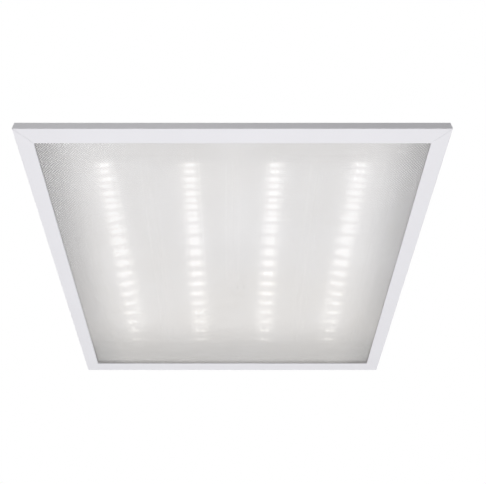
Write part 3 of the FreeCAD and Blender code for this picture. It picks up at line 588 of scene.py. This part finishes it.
def new_tree(name, inputs):
    """An empty Geometry Nodes tree with named inputs and one geometry result."""
    tree = bpy.data.node_groups.new(name, "GeometryNodeTree")
    tree.interface.new_socket("Geometry", in_out="INPUT", socket_type="NodeSocketGeometry")
    for label, kind, value in inputs:
        made = tree.interface.new_socket(label, in_out="INPUT", socket_type="NodeSocket" + kind)
        if value is not None:
            made.default_value = value
    tree.interface.new_socket("Geometry", in_out="OUTPUT", socket_type="NodeSocketGeometry")
    given = tree.nodes.new("NodeGroupInput").outputs
    result = tree.nodes.new("NodeGroupOutput").inputs[0]
    return tree, given, result


def close_tree(tree, geometry, finish, result):
    """The end that every tree has: real geometry, and its finish."""
    real = put(tree, "GeometryNodeRealizeInstances", {0: geometry}).outputs[0]
    dressed = put(tree, "GeometryNodeSetMaterial", {"Geometry": real, "Material": finish})
    tree.links.new(dressed.outputs[0], result)


def grown(name, tree, values, start=None):
    """Runs a tree once and returns its result as a plain mesh object."""
    holder = object_of(name, start or bpy.data.meshes.new(name))
    modifier = holder.modifiers.new("form", "NODES")
    modifier.node_group = tree
    for item in tree.interface.items_tree:
        if item.in_out == "INPUT" and item.name in values:
            modifier[item.identifier] = values[item.name]
    graph = bpy.context.evaluated_depsgraph_get()
    mesh = bpy.data.meshes.new_from_object(holder.evaluated_get(graph), depsgraph=graph)
    holder.modifiers.clear()
    holder.data = mesh
    return holder


def points_mesh(name, places, turns=None):
    """A mesh of loose points, with the turn of each about Z."""
    mesh = bpy.data.meshes.new(name)
    mesh.from_pydata([tuple(place) for place in places], [], [])
    attribute = mesh.attributes.new("turn", "FLOAT", "POINT")
    attribute.data.foreach_set("value", list(turns or [0.0] * len(places)))
    return mesh


def prism_face_tree():
    """A square grid whose alternate corners drop to make rows of small pyramids, grooved on the diagonals."""
    edge_margin = 0.0005
    inputs = [("Side", "Float", 0.571), ("Cells", "Int", prism_cells), ("Depth", "Float", prism_depth),
              ("Groove Height", "Float", 0.003), ("Finish", "Material", None)]
    tree, given, result = new_tree("prism face", inputs)
    corners = calc(tree, "ADD", given["Cells"], 1.0)
    size = {"Size X": given["Side"], "Size Y": given["Side"], "Vertices X": corners, "Vertices Y": corners}
    grid = put(tree, "GeometryNodeMeshGrid", size).outputs[0]
    index = tree.nodes.new("GeometryNodeInputIndex").outputs[0]

    def odd(length):
        column = calc(tree, "FLOOR", calc(tree, "DIVIDE", calc(tree, "ADD", index, 0.5), length))
        row = calc(tree, "SUBTRACT", index, calc(tree, "MULTIPLY", column, length))
        return calc(tree, "MODULO", calc(tree, "ADD", column, row), 2.0)

    place = parts_of(tree, tree.nodes.new("GeometryNodeInputPosition").outputs[0])
    limit = calc(tree, "SUBTRACT", calc(tree, "MULTIPLY", given["Side"], 0.5), edge_margin)
    in_x = calc(tree, "LESS_THAN", calc(tree, "ABSOLUTE", place[0]), limit)
    in_y = calc(tree, "LESS_THAN", calc(tree, "ABSOLUTE", place[1]), limit)
    apex = times(tree, calc(tree, "SUBTRACT", 1.0, odd(corners)), in_x, in_y)
    drop = calc(tree, "SUBTRACT", given["Groove Height"], calc(tree, "MULTIPLY", apex, given["Depth"]))
    shift = put(tree, "ShaderNodeCombineXYZ", {2: drop}).outputs[0]
    formed = put(tree, "GeometryNodeSetPosition", {"Geometry": grid, "Offset": shift}).outputs[0]
    is_odd = calc(tree, "GREATER_THAN", odd(given["Cells"]), 0.5)
    split = put(tree, "GeometryNodeTriangulate", {"Mesh": formed, "Selection": is_odd}, quad_method="FIXED")
    split = put(tree, "GeometryNodeTriangulate", {"Mesh": split.outputs[0]}, quad_method="FIXED_ALTERNATE")
    close_tree(tree, split.outputs[0], given["Finish"], result)
    return tree


def prism_sheet(material):
    """The clear sheet: prisms towards the room, a flat back, and closed edges."""
    values = {"Side": sheet_high.x - sheet_low.x, "Cells": prism_cells, "Depth": prism_depth,
              "Groove Height": sheet_low.z + prism_depth, "Finish": material}
    piece = grown("prism_sheet", prism_face_tree(), values)
    form = bmesh.new()
    form.from_mesh(piece.data)
    rim = [edge for edge in form.edges if edge.is_boundary]
    raised = bmesh.ops.extrude_edge_only(form, edges=rim)["geom"]
    for corner in [item for item in raised if isinstance(item, bmesh.types.BMVert)]:
        corner.co.z = sheet_high.z
    loop = [item for item in raised if isinstance(item, bmesh.types.BMEdge)]
    bmesh.ops.edgeloop_fill(form, edges=loop)
    bmesh.ops.recalc_face_normals(form, faces=form.faces)
    for face in form.faces:
        face.material_index = 0
    form.to_mesh(piece.data)
    form.free()
    piece.data.materials.clear()
    piece.data.materials.append(material)
    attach(piece, "diffuser_sheet")
    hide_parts("diffuser")
    return piece


def light_patterns(body_finish, window_finish):
    """One light's housing, with a recess, and the window in it, both about the light's own place."""
    half_x, half_y, height = 0.00175, 0.0014, 0.0008
    inner_x, inner_y, depth = 0.00135, 0.00105, 0.00012
    ease, taper, proud = 0.00006, 0.0001, 0.00002
    form = bmesh.new()
    levels = [(half_x, half_y, height), (half_x, half_y, ease), (half_x - ease, half_y - ease, 0.0),
              (inner_x, inner_y, 0.0), (inner_x - taper, inner_y - taper, depth)]
    rings = []
    for x, y, z in levels:
        rings.append([form.verts.new((a * x, b * y, z)) for a, b in ((-1, -1), (1, -1), (1, 1), (-1, 1))])
    form.faces.new(rings[0])
    for low, high in zip(rings, rings[1:]):
        for side in range(4):
            form.faces.new((low[side], low[(side + 1) % 4], high[(side + 1) % 4], high[side]))
    form.faces.new(rings[-1])
    bmesh.ops.recalc_face_normals(form, faces=form.faces)
    body = mesh_of("light housing pattern", form)
    form = bmesh.new()
    x, y, z = inner_x - taper, inner_y - taper, depth - proud
    form.faces.new([form.verts.new((a * x, b * y, z)) for a, b in ((-1, -1), (-1, 1), (1, 1), (1, -1))])
    window = mesh_of("light window pattern", form)
    body.materials.append(body_finish)
    window.materials.append(window_finish)
    return body, window


def light_row_tree():
    """A row of lights along Y: the housing and its lit window, each with its own finish."""
    inputs = [("Housing", "Object", None), ("Window", "Object", None), ("Count", "Int", light_count),
              ("Pitch", "Float", light_pitch), ("Across", "Float", 0.0), ("Height", "Float", light_plane),
              ("Housing Finish", "Material", None), ("Window Finish", "Material", None)]
    tree, given, result = new_tree("light row", inputs)
    first = times(tree, calc(tree, "SUBTRACT", given["Count"], 1.0), given["Pitch"], -0.5)
    start = put(tree, "ShaderNodeCombineXYZ", {0: given["Across"], 1: first, 2: given["Height"]}).outputs[0]
    step = put(tree, "ShaderNodeCombineXYZ", {1: given["Pitch"]}).outputs[0]
    inputs = {"Count": given["Count"], "Start Location": start, "Offset": step}
    line = put(tree, "GeometryNodeMeshLine", inputs).outputs[0]
    parts = tree.nodes.new("GeometryNodeJoinGeometry")
    for label in ("Window", "Housing"):
        shape = put(tree, "GeometryNodeObjectInfo", {"Object": given[label]}).outputs["Geometry"]
        placed = put(tree, "GeometryNodeInstanceOnPoints", {"Points": line, "Instance": shape}).outputs[0]
        close_tree(tree, placed, given[label + " Finish"], parts.inputs[0])
    tree.links.new(parts.outputs[0], result)
    return tree


def light_rows(body_finish, window_finish):
    """The four rows of lights."""
    body, window = light_patterns(body_finish, window_finish)
    body_piece = object_of("light housing pattern", body)
    window_piece = object_of("light window pattern", window)
    tree = light_row_tree()
    for index, x in enumerate(strip_places):
        values = {"Housing": body_piece, "Window": window_piece, "Count": light_count, "Pitch": light_pitch,
                  "Across": x, "Height": light_plane, "Housing Finish": body_finish,
                  "Window Finish": window_finish}
        row = grown(f"light_row_{index + 1}", tree, values)
        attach(row, "fixture")
        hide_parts(f"leds_{index + 1}")
    for pattern in (body_piece, window_piece):
        bpy.data.objects.remove(pattern)


def lathe(form, rows, sides):
    """Rings of points about Z, joined into a skin; a row is a radius and a height. Returns the rings."""
    rings = []
    for radius, height in rows:
        angles = [2.0 * math.pi * (index + 0.5) / sides for index in range(sides)]
        rings.append([form.verts.new((radius * math.cos(a), radius * math.sin(a), height)) for a in angles])
    for low, high in zip(rings, rings[1:]):
        for side in range(sides):
            after = (side + 1) % sides
            form.faces.new((low[side], low[after], high[after], high[side]))
    return rings


def cross_outline(reach, half_width):
    """The twelve corners of a cross, anticlockwise."""
    corners = []
    for quarter in range(4):
        turn = Matrix.Rotation(quarter * math.pi / 2.0, 2)
        for x, y in ((reach, -half_width), (reach, half_width), (half_width, half_width)):
            corners.append(turn @ Vector((x, y)))
    return corners


def cut_cross(form, rim, top, reach, depth):
    """Closes a head's flat with a cross recess whose walls taper to its floor."""
    half_width = reach * 0.24
    upper = [form.verts.new((c.x, c.y, top)) for c in cross_outline(reach, half_width)]
    lower = [form.verts.new((c.x, c.y, top - depth)) for c in cross_outline(reach * 0.62, half_width * 0.7)]
    points = list(rim) + upper
    loops = [[vert.co.copy() for vert in rim], [vert.co.copy() for vert in upper]]
    for a, b, c in tessellate_polygon(loops):
        form.faces.new((points[a], points[b], points[c]))
    for index in range(len(upper)):
        after = (index + 1) % len(upper)
        form.faces.new((upper[index], upper[after], lower[after], lower[index]))
    form.faces.new(lower)


def closed(name, form, finish):
    """A pattern's mesh, with its faces outwards and its finish."""
    bmesh.ops.recalc_face_normals(form, faces=form.faces)
    mesh = mesh_of(name, form)
    mesh.materials.append(finish)
    return object_of(name, mesh)


def screw_pattern(name, head_radius, head_height, radius, length, finish):
    """A pan-head screw with a cross recess; its seat is at zero and its shank points down."""
    root = radius * 0.84
    step = radius * 0.36
    rows = [(radius * 0.30, -length), (radius * 0.62, -length + 0.2 * radius)]
    turns = int((length - radius) / step)
    for index in range(turns):
        z = -length + 0.4 * radius + index * step
        rows += [(root, z), (radius, z + 0.5 * step)]
    rows += [(root, -0.3 * radius), (radius, 0.0)]
    rows += [(head_radius * 0.97, 0.0), (head_radius, 0.12 * head_height)]
    for share in (0.42, 0.66, 0.85, 0.96):
        reach = head_radius * math.sqrt(1.0 - 0.55 * share * share)
        rows.append((reach, head_height * (0.12 + 0.88 * share)))
    rows.append((head_radius * 0.60, head_height))
    form = bmesh.new()
    rings = lathe(form, rows, 20)
    form.faces.new(rings[0])
    cut_cross(form, rings[-1], head_height, head_radius * 0.50, head_height * 0.55)
    return closed(name, form, finish)


def nut_pattern(name, radius, height, bore, finish):
    """A hexagon nut: rounded corners above and below, and a bore with a lead-in."""
    sides = 24
    flat = radius * math.cos(math.pi / 6.0)
    form = bmesh.new()
    lead_in, washer_face = bore * 1.14, flat * 0.96
    rows = [(bore, 0.1 * height), (lead_in, 0.0), (washer_face, 0.0), (None, 0.14 * height),
            (None, 0.86 * height), (washer_face, height), (lead_in, height), (bore, 0.9 * height)]
    rings = []
    for size, z in rows:
        ring = []
        for index in range(sides):
            angle = 2.0 * math.pi * index / sides
            around = (angle + math.pi / 6.0) % (math.pi / 3.0) - math.pi / 6.0
            reach = size if size is not None else flat / math.cos(around)
            ring.append(form.verts.new((reach * math.cos(angle), reach * math.sin(angle), z)))
        rings.append(ring)
    for low, high in zip(rings, rings[1:] + rings[:1]):
        for side in range(sides):
            after = (side + 1) % sides
            form.faces.new((low[side], low[after], high[after], high[side]))
    return closed(name, form, finish)


def rivet_pattern(name, finish):
    """A push rivet: domed head towards the room, shank through board and pan, spread tail above."""
    head, tail, shank, dome = 0.0030, 0.0023, 0.0015, 0.0009
    under, top = board_bottom, pan_outer_top
    angles = [step * math.pi / 12.0 for step in (1, 2, 3, 4, 5)]
    rows = [(head * math.sin(angle), under - dome * math.cos(angle)) for angle in angles]
    rows += [(head, under - 0.0001), (head, under), (shank, under), (shank, top), (tail, top),
             (tail, top + 0.00025), (tail * 0.8, top + 0.0006), (tail * 0.45, top + 0.0008)]
    form = bmesh.new()
    rings = lathe(form, rows, 20)
    form.faces.new(rings[0])
    form.faces.new(rings[-1])
    return closed(name, form, finish)


def connector_pattern(name, finish):
    """A wire connector under a board: eased edges, two wire mouths in each side and a latch slot below."""
    half_y, height, ease = 0.0060, 0.0040, 0.0004
    large_face, mouth_face, long_edge, mouth_from_middle = 1e-5, 2e-6, 0.005, 0.0012
    form = bmesh.new()
    place = Matrix.Translation((0.0, 0.0, board_bottom - height / 2.0))
    size = Matrix.Diagonal((2 * connector_half_x, 2 * half_y, height, 1.0))
    bmesh.ops.create_cube(form, size=1.0, matrix=place @ size)
    bmesh.ops.bevel(form, geom=form.edges[:], offset=ease, segments=2, affect="EDGES", profile=0.5)
    walls = [face for face in form.faces if abs(face.normal.x) > 0.99 and face.calc_area() > large_face]
    floor = [face for face in form.faces if face.normal.z < -0.99 and face.calc_area() > large_face]
    bmesh.ops.inset_individual(form, faces=walls, thickness=0.0006, depth=0.0)
    edges = [edge for face in walls for edge in face.edges]
    spans = [edge for edge in edges if abs((edge.verts[0].co - edge.verts[1].co).y) > long_edge]
    bmesh.ops.subdivide_edges(form, edges=spans, cuts=2, use_grid_fill=True)
    mouths = [face for face in form.faces if abs(face.normal.x) > 0.99 and face.calc_area() > mouth_face
              and abs(face.calc_center_median().y) > mouth_from_middle]
    bmesh.ops.inset_individual(form, faces=mouths, thickness=0.0003, depth=-0.0011)
    bmesh.ops.inset_individual(form, faces=floor, thickness=0.0014, depth=-0.0008)
    return closed(name, form, finish)


def spread_tree():
    """One pattern at each point, turned about Z by the point's own turn."""
    inputs = [("Pattern", "Object", None), ("Size", "Float", 1.0), ("Finish", "Material", None)]
    tree, given, result = new_tree("spread pieces", inputs)
    points = put(tree, "GeometryNodeMeshToPoints", {"Mesh": given["Geometry"]}).outputs[0]
    shape = put(tree, "GeometryNodeObjectInfo", {"Object": given["Pattern"]}).outputs["Geometry"]
    own_turn = put(tree, "GeometryNodeInputNamedAttribute", {"Name": "turn"}, data_type="FLOAT")
    turned = put(tree, "ShaderNodeCombineXYZ", {2: own_turn.outputs["Attribute"]}).outputs[0]
    inputs = {"Points": points, "Instance": shape, "Rotation": turned, "Scale": given["Size"]}
    placed = put(tree, "GeometryNodeInstanceOnPoints", inputs).outputs[0]
    close_tree(tree, placed, given["Finish"], result)
    return tree


def spread(name, pattern, places, finish, body, node, turns=None):
    """A set of like pieces, which stands for one CAD node."""
    values = {"Pattern": pattern, "Size": 1.0, "Finish": finish}
    piece = grown(name, spread_pieces, values, points_mesh(name, places, turns))
    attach(piece, body)
    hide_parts(node)
    return piece


def uneven(count, step=1.9):
    """Turns that differ from screw to screw, as driven screws do."""
    return [(index * step) % math.pi for index in range(count)]


def key_screw_places():
    """The seats of the keys' screws: the fixed ones, and the two that hold the end rail."""
    fixed = []
    for side in (-1.0, 1.0):
        fixed.append((side * key_line, -key_along, rim_height))
        fixed.append((side * key_line, key_along, rim_height))
        fixed.append((side * key_along, key_line, rim_height))
    loose = [(side * key_along, -key_line, rim_height) for side in (-1.0, 1.0)]
    return fixed, loose


def fasteners(zinc, brass, nylon):
    """Every screw, nut and rivet, with its real head."""
    key = screw_pattern("key screw pattern", 0.0035, 0.0022, 0.0019, 0.0070, zinc)
    pan = screw_pattern("pan screw pattern", 0.0032, 0.0020, 0.0017, 0.0060, zinc)
    ear = screw_pattern("ear screw pattern", 0.0032, 0.0020, 0.0017, 0.0065, zinc)
    clamp = screw_pattern("clamp screw pattern", 0.0026, 0.0016, 0.0014, 0.0080, zinc)
    earth = screw_pattern("earth screw pattern", 0.0028, 0.0018, 0.0017, 0.0060, brass)
    nut = nut_pattern("nut pattern", 0.0039, 0.0024, 0.00165, zinc)
    rivet = rivet_pattern("rivet pattern", nylon)
    fixed, loose = key_screw_places()
    spread("corner_key_screws", key, fixed, zinc, "fixture", "key_screws", uneven(len(fixed)))
    spread("slack_screws", key, loose, zinc, "end_rail", "end_rail_screws", uneven(2))
    nuts = [(seat[0], seat[1], nut_seat) for seat in loose]
    spread("slack_nuts", nut, nuts, zinc, "end_rail", "end_rail_nuts")
    along = (-screw_reach, 0.0, screw_reach)
    seats = [(side * screw_line, y, flange_top) for side in (-1.0, 1.0) for y in along]
    seats += [(x, screw_line, flange_top) for x in along]
    spread("flange_screws", pan, seats, zinc, "fixture", "pan_screws", uneven(len(seats), 2.3))
    ears = [(x, y, ear_seat) for x, y in ear_places]
    spread("ear_screws", ear, ears, zinc, "fixture", "driver_screws", uneven(2))
    clamps = [(side * clamp_place[0], clamp_place[1], clamp_seat) for side in (-1.0, 1.0)]
    spread("cord_clamp_screws", clamp, clamps, zinc, "fixture", "clamp_screws", uneven(2))
    spread("earth_stud", earth, [earth_place], brass, "fixture", "earth_screw")
    rivets = [(x, y, 0.0) for x in strip_places for y in (-rivet_step, 0.0, rivet_step)]
    spread("push_rivets", rivet, rivets, nylon, "fixture", "board_rivets")
    for pattern in (key, pan, ear, clamp, earth, nut, rivet):
        bpy.data.objects.remove(pattern)


def connectors(finish):
    """The boards' wire connectors."""
    places = [(x, -connector_y, 0.0) for x in strip_places]
    places += [(x, connector_y, 0.0) for x in strip_places[1:-1]]
    pattern = connector_pattern("connector pattern", finish)
    spread("wire_connectors", pattern, places, finish, "fixture", "board_connectors")
    bpy.data.objects.remove(pattern)


def wire_tree():
    """A round tube along each run of a polyline, with its corners eased."""
    inputs = [("Radius", "Float", wire_radius), ("Bend", "Float", wire_bend), ("Sides", "Int", wire_sides),
              ("Finish", "Material", None)]
    tree, given, result = new_tree("insulated wire", inputs)
    path = put(tree, "GeometryNodeMeshToCurve", {"Mesh": given["Geometry"]}).outputs[0]
    corner = {"Curve": path, "Radius": given["Bend"], "Count": 8, "Limit Radius": True}
    eased = put(tree, "GeometryNodeFilletCurve", corner, mode="POLY").outputs[0]
    around = {"Resolution": given["Sides"], "Radius": given["Radius"]}
    ring = put(tree, "GeometryNodeCurvePrimitiveCircle", around).outputs[0]
    swept = {"Curve": eased, "Profile Curve": ring, "Fill Caps": True}
    tube = put(tree, "GeometryNodeCurveToMesh", swept).outputs[0]
    smooth = put(tree, "GeometryNodeSetShadeSmooth", {"Geometry": tube, "Shade Smooth": True}).outputs[0]
    close_tree(tree, smooth, given["Finish"], result)
    return tree


def wire_routes(shift):
    """Two links between the connectors at the near end, and two feeds up through the grommet."""
    level = board_bottom - 0.002
    off_middle = 0.0013
    routes = []
    for first, second in ((0, 1), (2, 3)):
        y = shift - connector_y
        start = strip_places[first] + connector_half_x
        end = strip_places[second] - connector_half_x
        routes.append([(start, y, level), (end, y, level)])
    for side in (-1.0, 1.0):
        x, y = side * off_middle, shift + connector_y
        end = side * (strip_places[2] - connector_half_x)
        routes.append([(x, y, circuit_bottom), (x, y, level), (end, y, level)])
    return routes


def wires(name, shift, finish, tree, node):
    """The wires of one polarity."""
    points = []
    edges = []
    for route in wire_routes(shift):
        edges += [(len(points) + index, len(points) + index + 1) for index in range(len(route) - 1)]
        points += route
    mesh = bpy.data.meshes.new(name)
    mesh.from_pydata(points, edges, [])
    values = {"Radius": wire_radius, "Bend": wire_bend, "Sides": wire_sides, "Finish": finish}
    piece = grown(name, tree, values, mesh)
    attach(piece, "fixture")
    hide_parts(node)


def grommet(finish):
    """The rubber ring in the pan's wire hole, with rounded lips."""
    bore, neck, lip = 0.0048, 0.0064, 0.0084
    inner_ease, outer_ease, thick = 0.0004, 0.0005, 0.0012
    sides = 40
    low, high = pan_inner_top - thick, pan_outer_top + thick
    outline = [(bore, low + inner_ease), (bore + inner_ease, low), (lip - outer_ease, low),
               (lip, low + outer_ease), (lip, pan_inner_top), (neck, pan_inner_top),
               (neck, pan_outer_top), (lip, pan_outer_top), (lip, high - outer_ease),
               (lip - outer_ease, high), (bore + inner_ease, high), (bore, high - inner_ease)]
    form = bmesh.new()
    rings = lathe(form, outline, sides)
    for side in range(sides):
        after = (side + 1) % sides
        form.faces.new((rings[-1][side], rings[-1][after], rings[0][after], rings[0][side]))
    for ring in rings:
        for vert in ring:
            vert.co.y += connector_y
    bmesh.ops.recalc_face_normals(form, faces=form.faces)
    piece = object_of("wire_grommet", mesh_of("wire_grommet", form), finish)
    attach(piece, "fixture")
    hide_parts("feed_grommet")


def dress(names, material):
    """Gives CAD nodes a finish."""
    for name in names:
        slots = nodes[name].material_slots
        if not slots:
            nodes[name].data.materials.append(material)
        for slot in nodes[name].material_slots:
            slot.material = material


def dress_frame(zinc):
    """Finishes of the rim, its keys, the hinge pin, the seals and the pan; the rim's inner channel and the
    pan's inside get a painted glow.
    """
    dress(["rail_left", "rail_right", "rail_far", "rail_near"], rim_coat_and_painted_glow())
    dress([name for name in nodes if name.startswith("corner_key")], zinc)
    dress(["hinge_pin"], zinc)
    dress(["seal_strips"], seal_foam())
    dress(["back_pan"], pan_coat_and_painted_glow())


def dress_lights():
    """Finishes of the boards, and the connectors, wires and grommet, each with a painted glow inside the
    chamber.
    """
    dress([f"led_board_{index}" for index in range(1, 5)], board_mask_and_painted_glow())
    connectors(painted_glow_finish("connector white with painted glow", 0.14, 0.66, 0.0))
    tube = wire_tree()
    half_pitch = 0.0016
    white = painted_glow_finish("wire white with painted glow", 0.14, 0.66, 0.0)
    wires("white_wires", half_pitch, white, tube, "positive_wires")
    pale_grey = painted_glow_finish("wire grey with painted glow", 0.12, 0.60, 0.0)
    wires("grey_wires", -half_pitch, pale_grey, tube, "negative_wires")
    grommet(painted_glow_finish("grommet rubber with painted glow", 0.14, 0.62, 0.0))


def dress_driver(brass):
    """Finishes of the driver's housing and of what it holds."""
    housing = moulded("housing plastic", grey(0.80), 0.45, dusty=0.25)
    dress(["driver_base", "driver_cover", "terminal_cover"], housing)
    dress(["cord_clamp"], moulded("clamp plastic", grey(0.70), 0.45))
    dress(["terminal_block"], moulded("terminal grey", grey(0.36, (0.98, 1.0, 1.02)), 0.42))
    buttons = [f"release_button_{index}" for index in range(1, 4)]
    dress(buttons, moulded("button orange", (0.62, 0.13, 0.012, 1.0), 0.35))
    dress(["driver_board"], circuit_green())
    dress(["transformer"], wound_tape())
    dress(["capacitors"], shrunk_sleeve())
    dress(["choke"], enamelled_copper())
    dress(["earth_strap"], brass)


# Room for the picture


def add_camera():
    """The viewpoint: below the near side, looking up."""
    lens = bpy.data.cameras.new("viewpoint")
    lens.sensor_width = 36.0
    lens.sensor_fit = "HORIZONTAL"
    lens.lens = 43.78
    lens.shift_x = 0.0218
    lens.clip_start = 0.01
    camera = bpy.data.objects.new("viewpoint", lens)
    camera.location = (0.0, -0.7583, -0.6673)
    camera.rotation_euler = (math.radians(90.0 + 44.526), 0.0, 0.0)
    bpy.context.scene.collection.objects.link(camera)
    bpy.context.scene.camera = camera


def add_lamp(name, place, target, width, power):
    """A broad soft lamp that isn't seen itself, nor through the sheet."""
    lamp = bpy.data.lights.new(name, "AREA")
    lamp.shape = "SQUARE"
    lamp.size = width
    lamp.energy = power
    holder = bpy.data.objects.new(name, lamp)
    holder.location = place
    aim = Vector(target) - Vector(place)
    holder.rotation_euler = aim.to_track_quat("-Z", "Y").to_euler()
    holder.visible_camera = False
    holder.visible_transmission = False
    bpy.context.scene.collection.objects.link(holder)


def seen_directly(tree):
    """1 for what the camera sees, by itself or in gloss or through the sheet."""
    path = tree.nodes.new("ShaderNodeLightPath").outputs
    seen = calc(tree, "MAXIMUM", path["Is Camera Ray"], path["Is Glossy Ray"])
    return calc(tree, "MAXIMUM", seen, path["Is Transmission Ray"])


def add_floor():
    """A plain pale floor far below."""
    form = bmesh.new()
    half_width, level = 40.0, -2.6
    place = Matrix.Translation((0.0, 0.0, level))
    bmesh.ops.create_grid(form, x_segments=1, y_segments=1, size=half_width, matrix=place)
    material, tree, shader, place = surface("pale floor", Roughness=0.9)
    tone = mottle(tree, place, 2.0, 3.0)
    feed(tree, shader["Base Color"], mixed(tree, tone, grey(0.84), grey(0.88)))
    shader["Emission Strength"].default_value = 1.0
    seen = seen_directly(tree)
    feed(tree, shader["Emission Color"], mixed(tree, seen, grey(0.0), grey(0.62)))
    object_of("floor", mesh_of("floor", form), material)


def add_world():
    """Even soft light, and a white background behind and through the panel."""
    world = bpy.data.worlds.new("soft room")
    world.use_nodes = True
    tree = world.node_tree
    tree.nodes.clear()
    ambient = 0.235
    strength = calc(tree, "MULTIPLY_ADD", seen_directly(tree), 1.0 - ambient, ambient)
    sky = put(tree, "ShaderNodeBackground", {"Color": grey(1.0), "Strength": strength})
    output = tree.nodes.new("ShaderNodeOutputWorld")
    tree.links.new(sky.outputs[0], output.inputs[0])
    bpy.context.scene.world = world


add_camera()
spread_pieces = spread_tree()
zinc_plate = plated_steel("zinc plate", 0.66, (1.0, 0.99, 0.96), (60.0, 1800.0, 1800.0))
earth_brass = plated_steel("earth brass", 0.60, (1.1, 0.92, 0.60), (1800.0, 60.0, 1800.0), 0.28)
dress_frame(zinc_plate)
dress_lights()
dress_driver(earth_brass)
# The rivets' nylon gets a painted glow where it is inside the chamber.
fasteners(zinc_plate, earth_brass, painted_glow_finish("rivet nylon with painted glow", 0.14, 0.66, 0.08))
prism_sheet(prism_plastic())
light_rows(light_body(), light_window())
add_lamp("lamp below", (0.0, -0.22, -2.0), (0.0, -0.05, 0.0), 2.0, 34.5)
add_lamp("lamp above", (-0.5, -0.6, 2.2), (0.0, 0.0, 0.0), 2.2, 30.0)
add_floor()
add_world()
bpy.context.scene.view_settings.view_transform = "Standard"
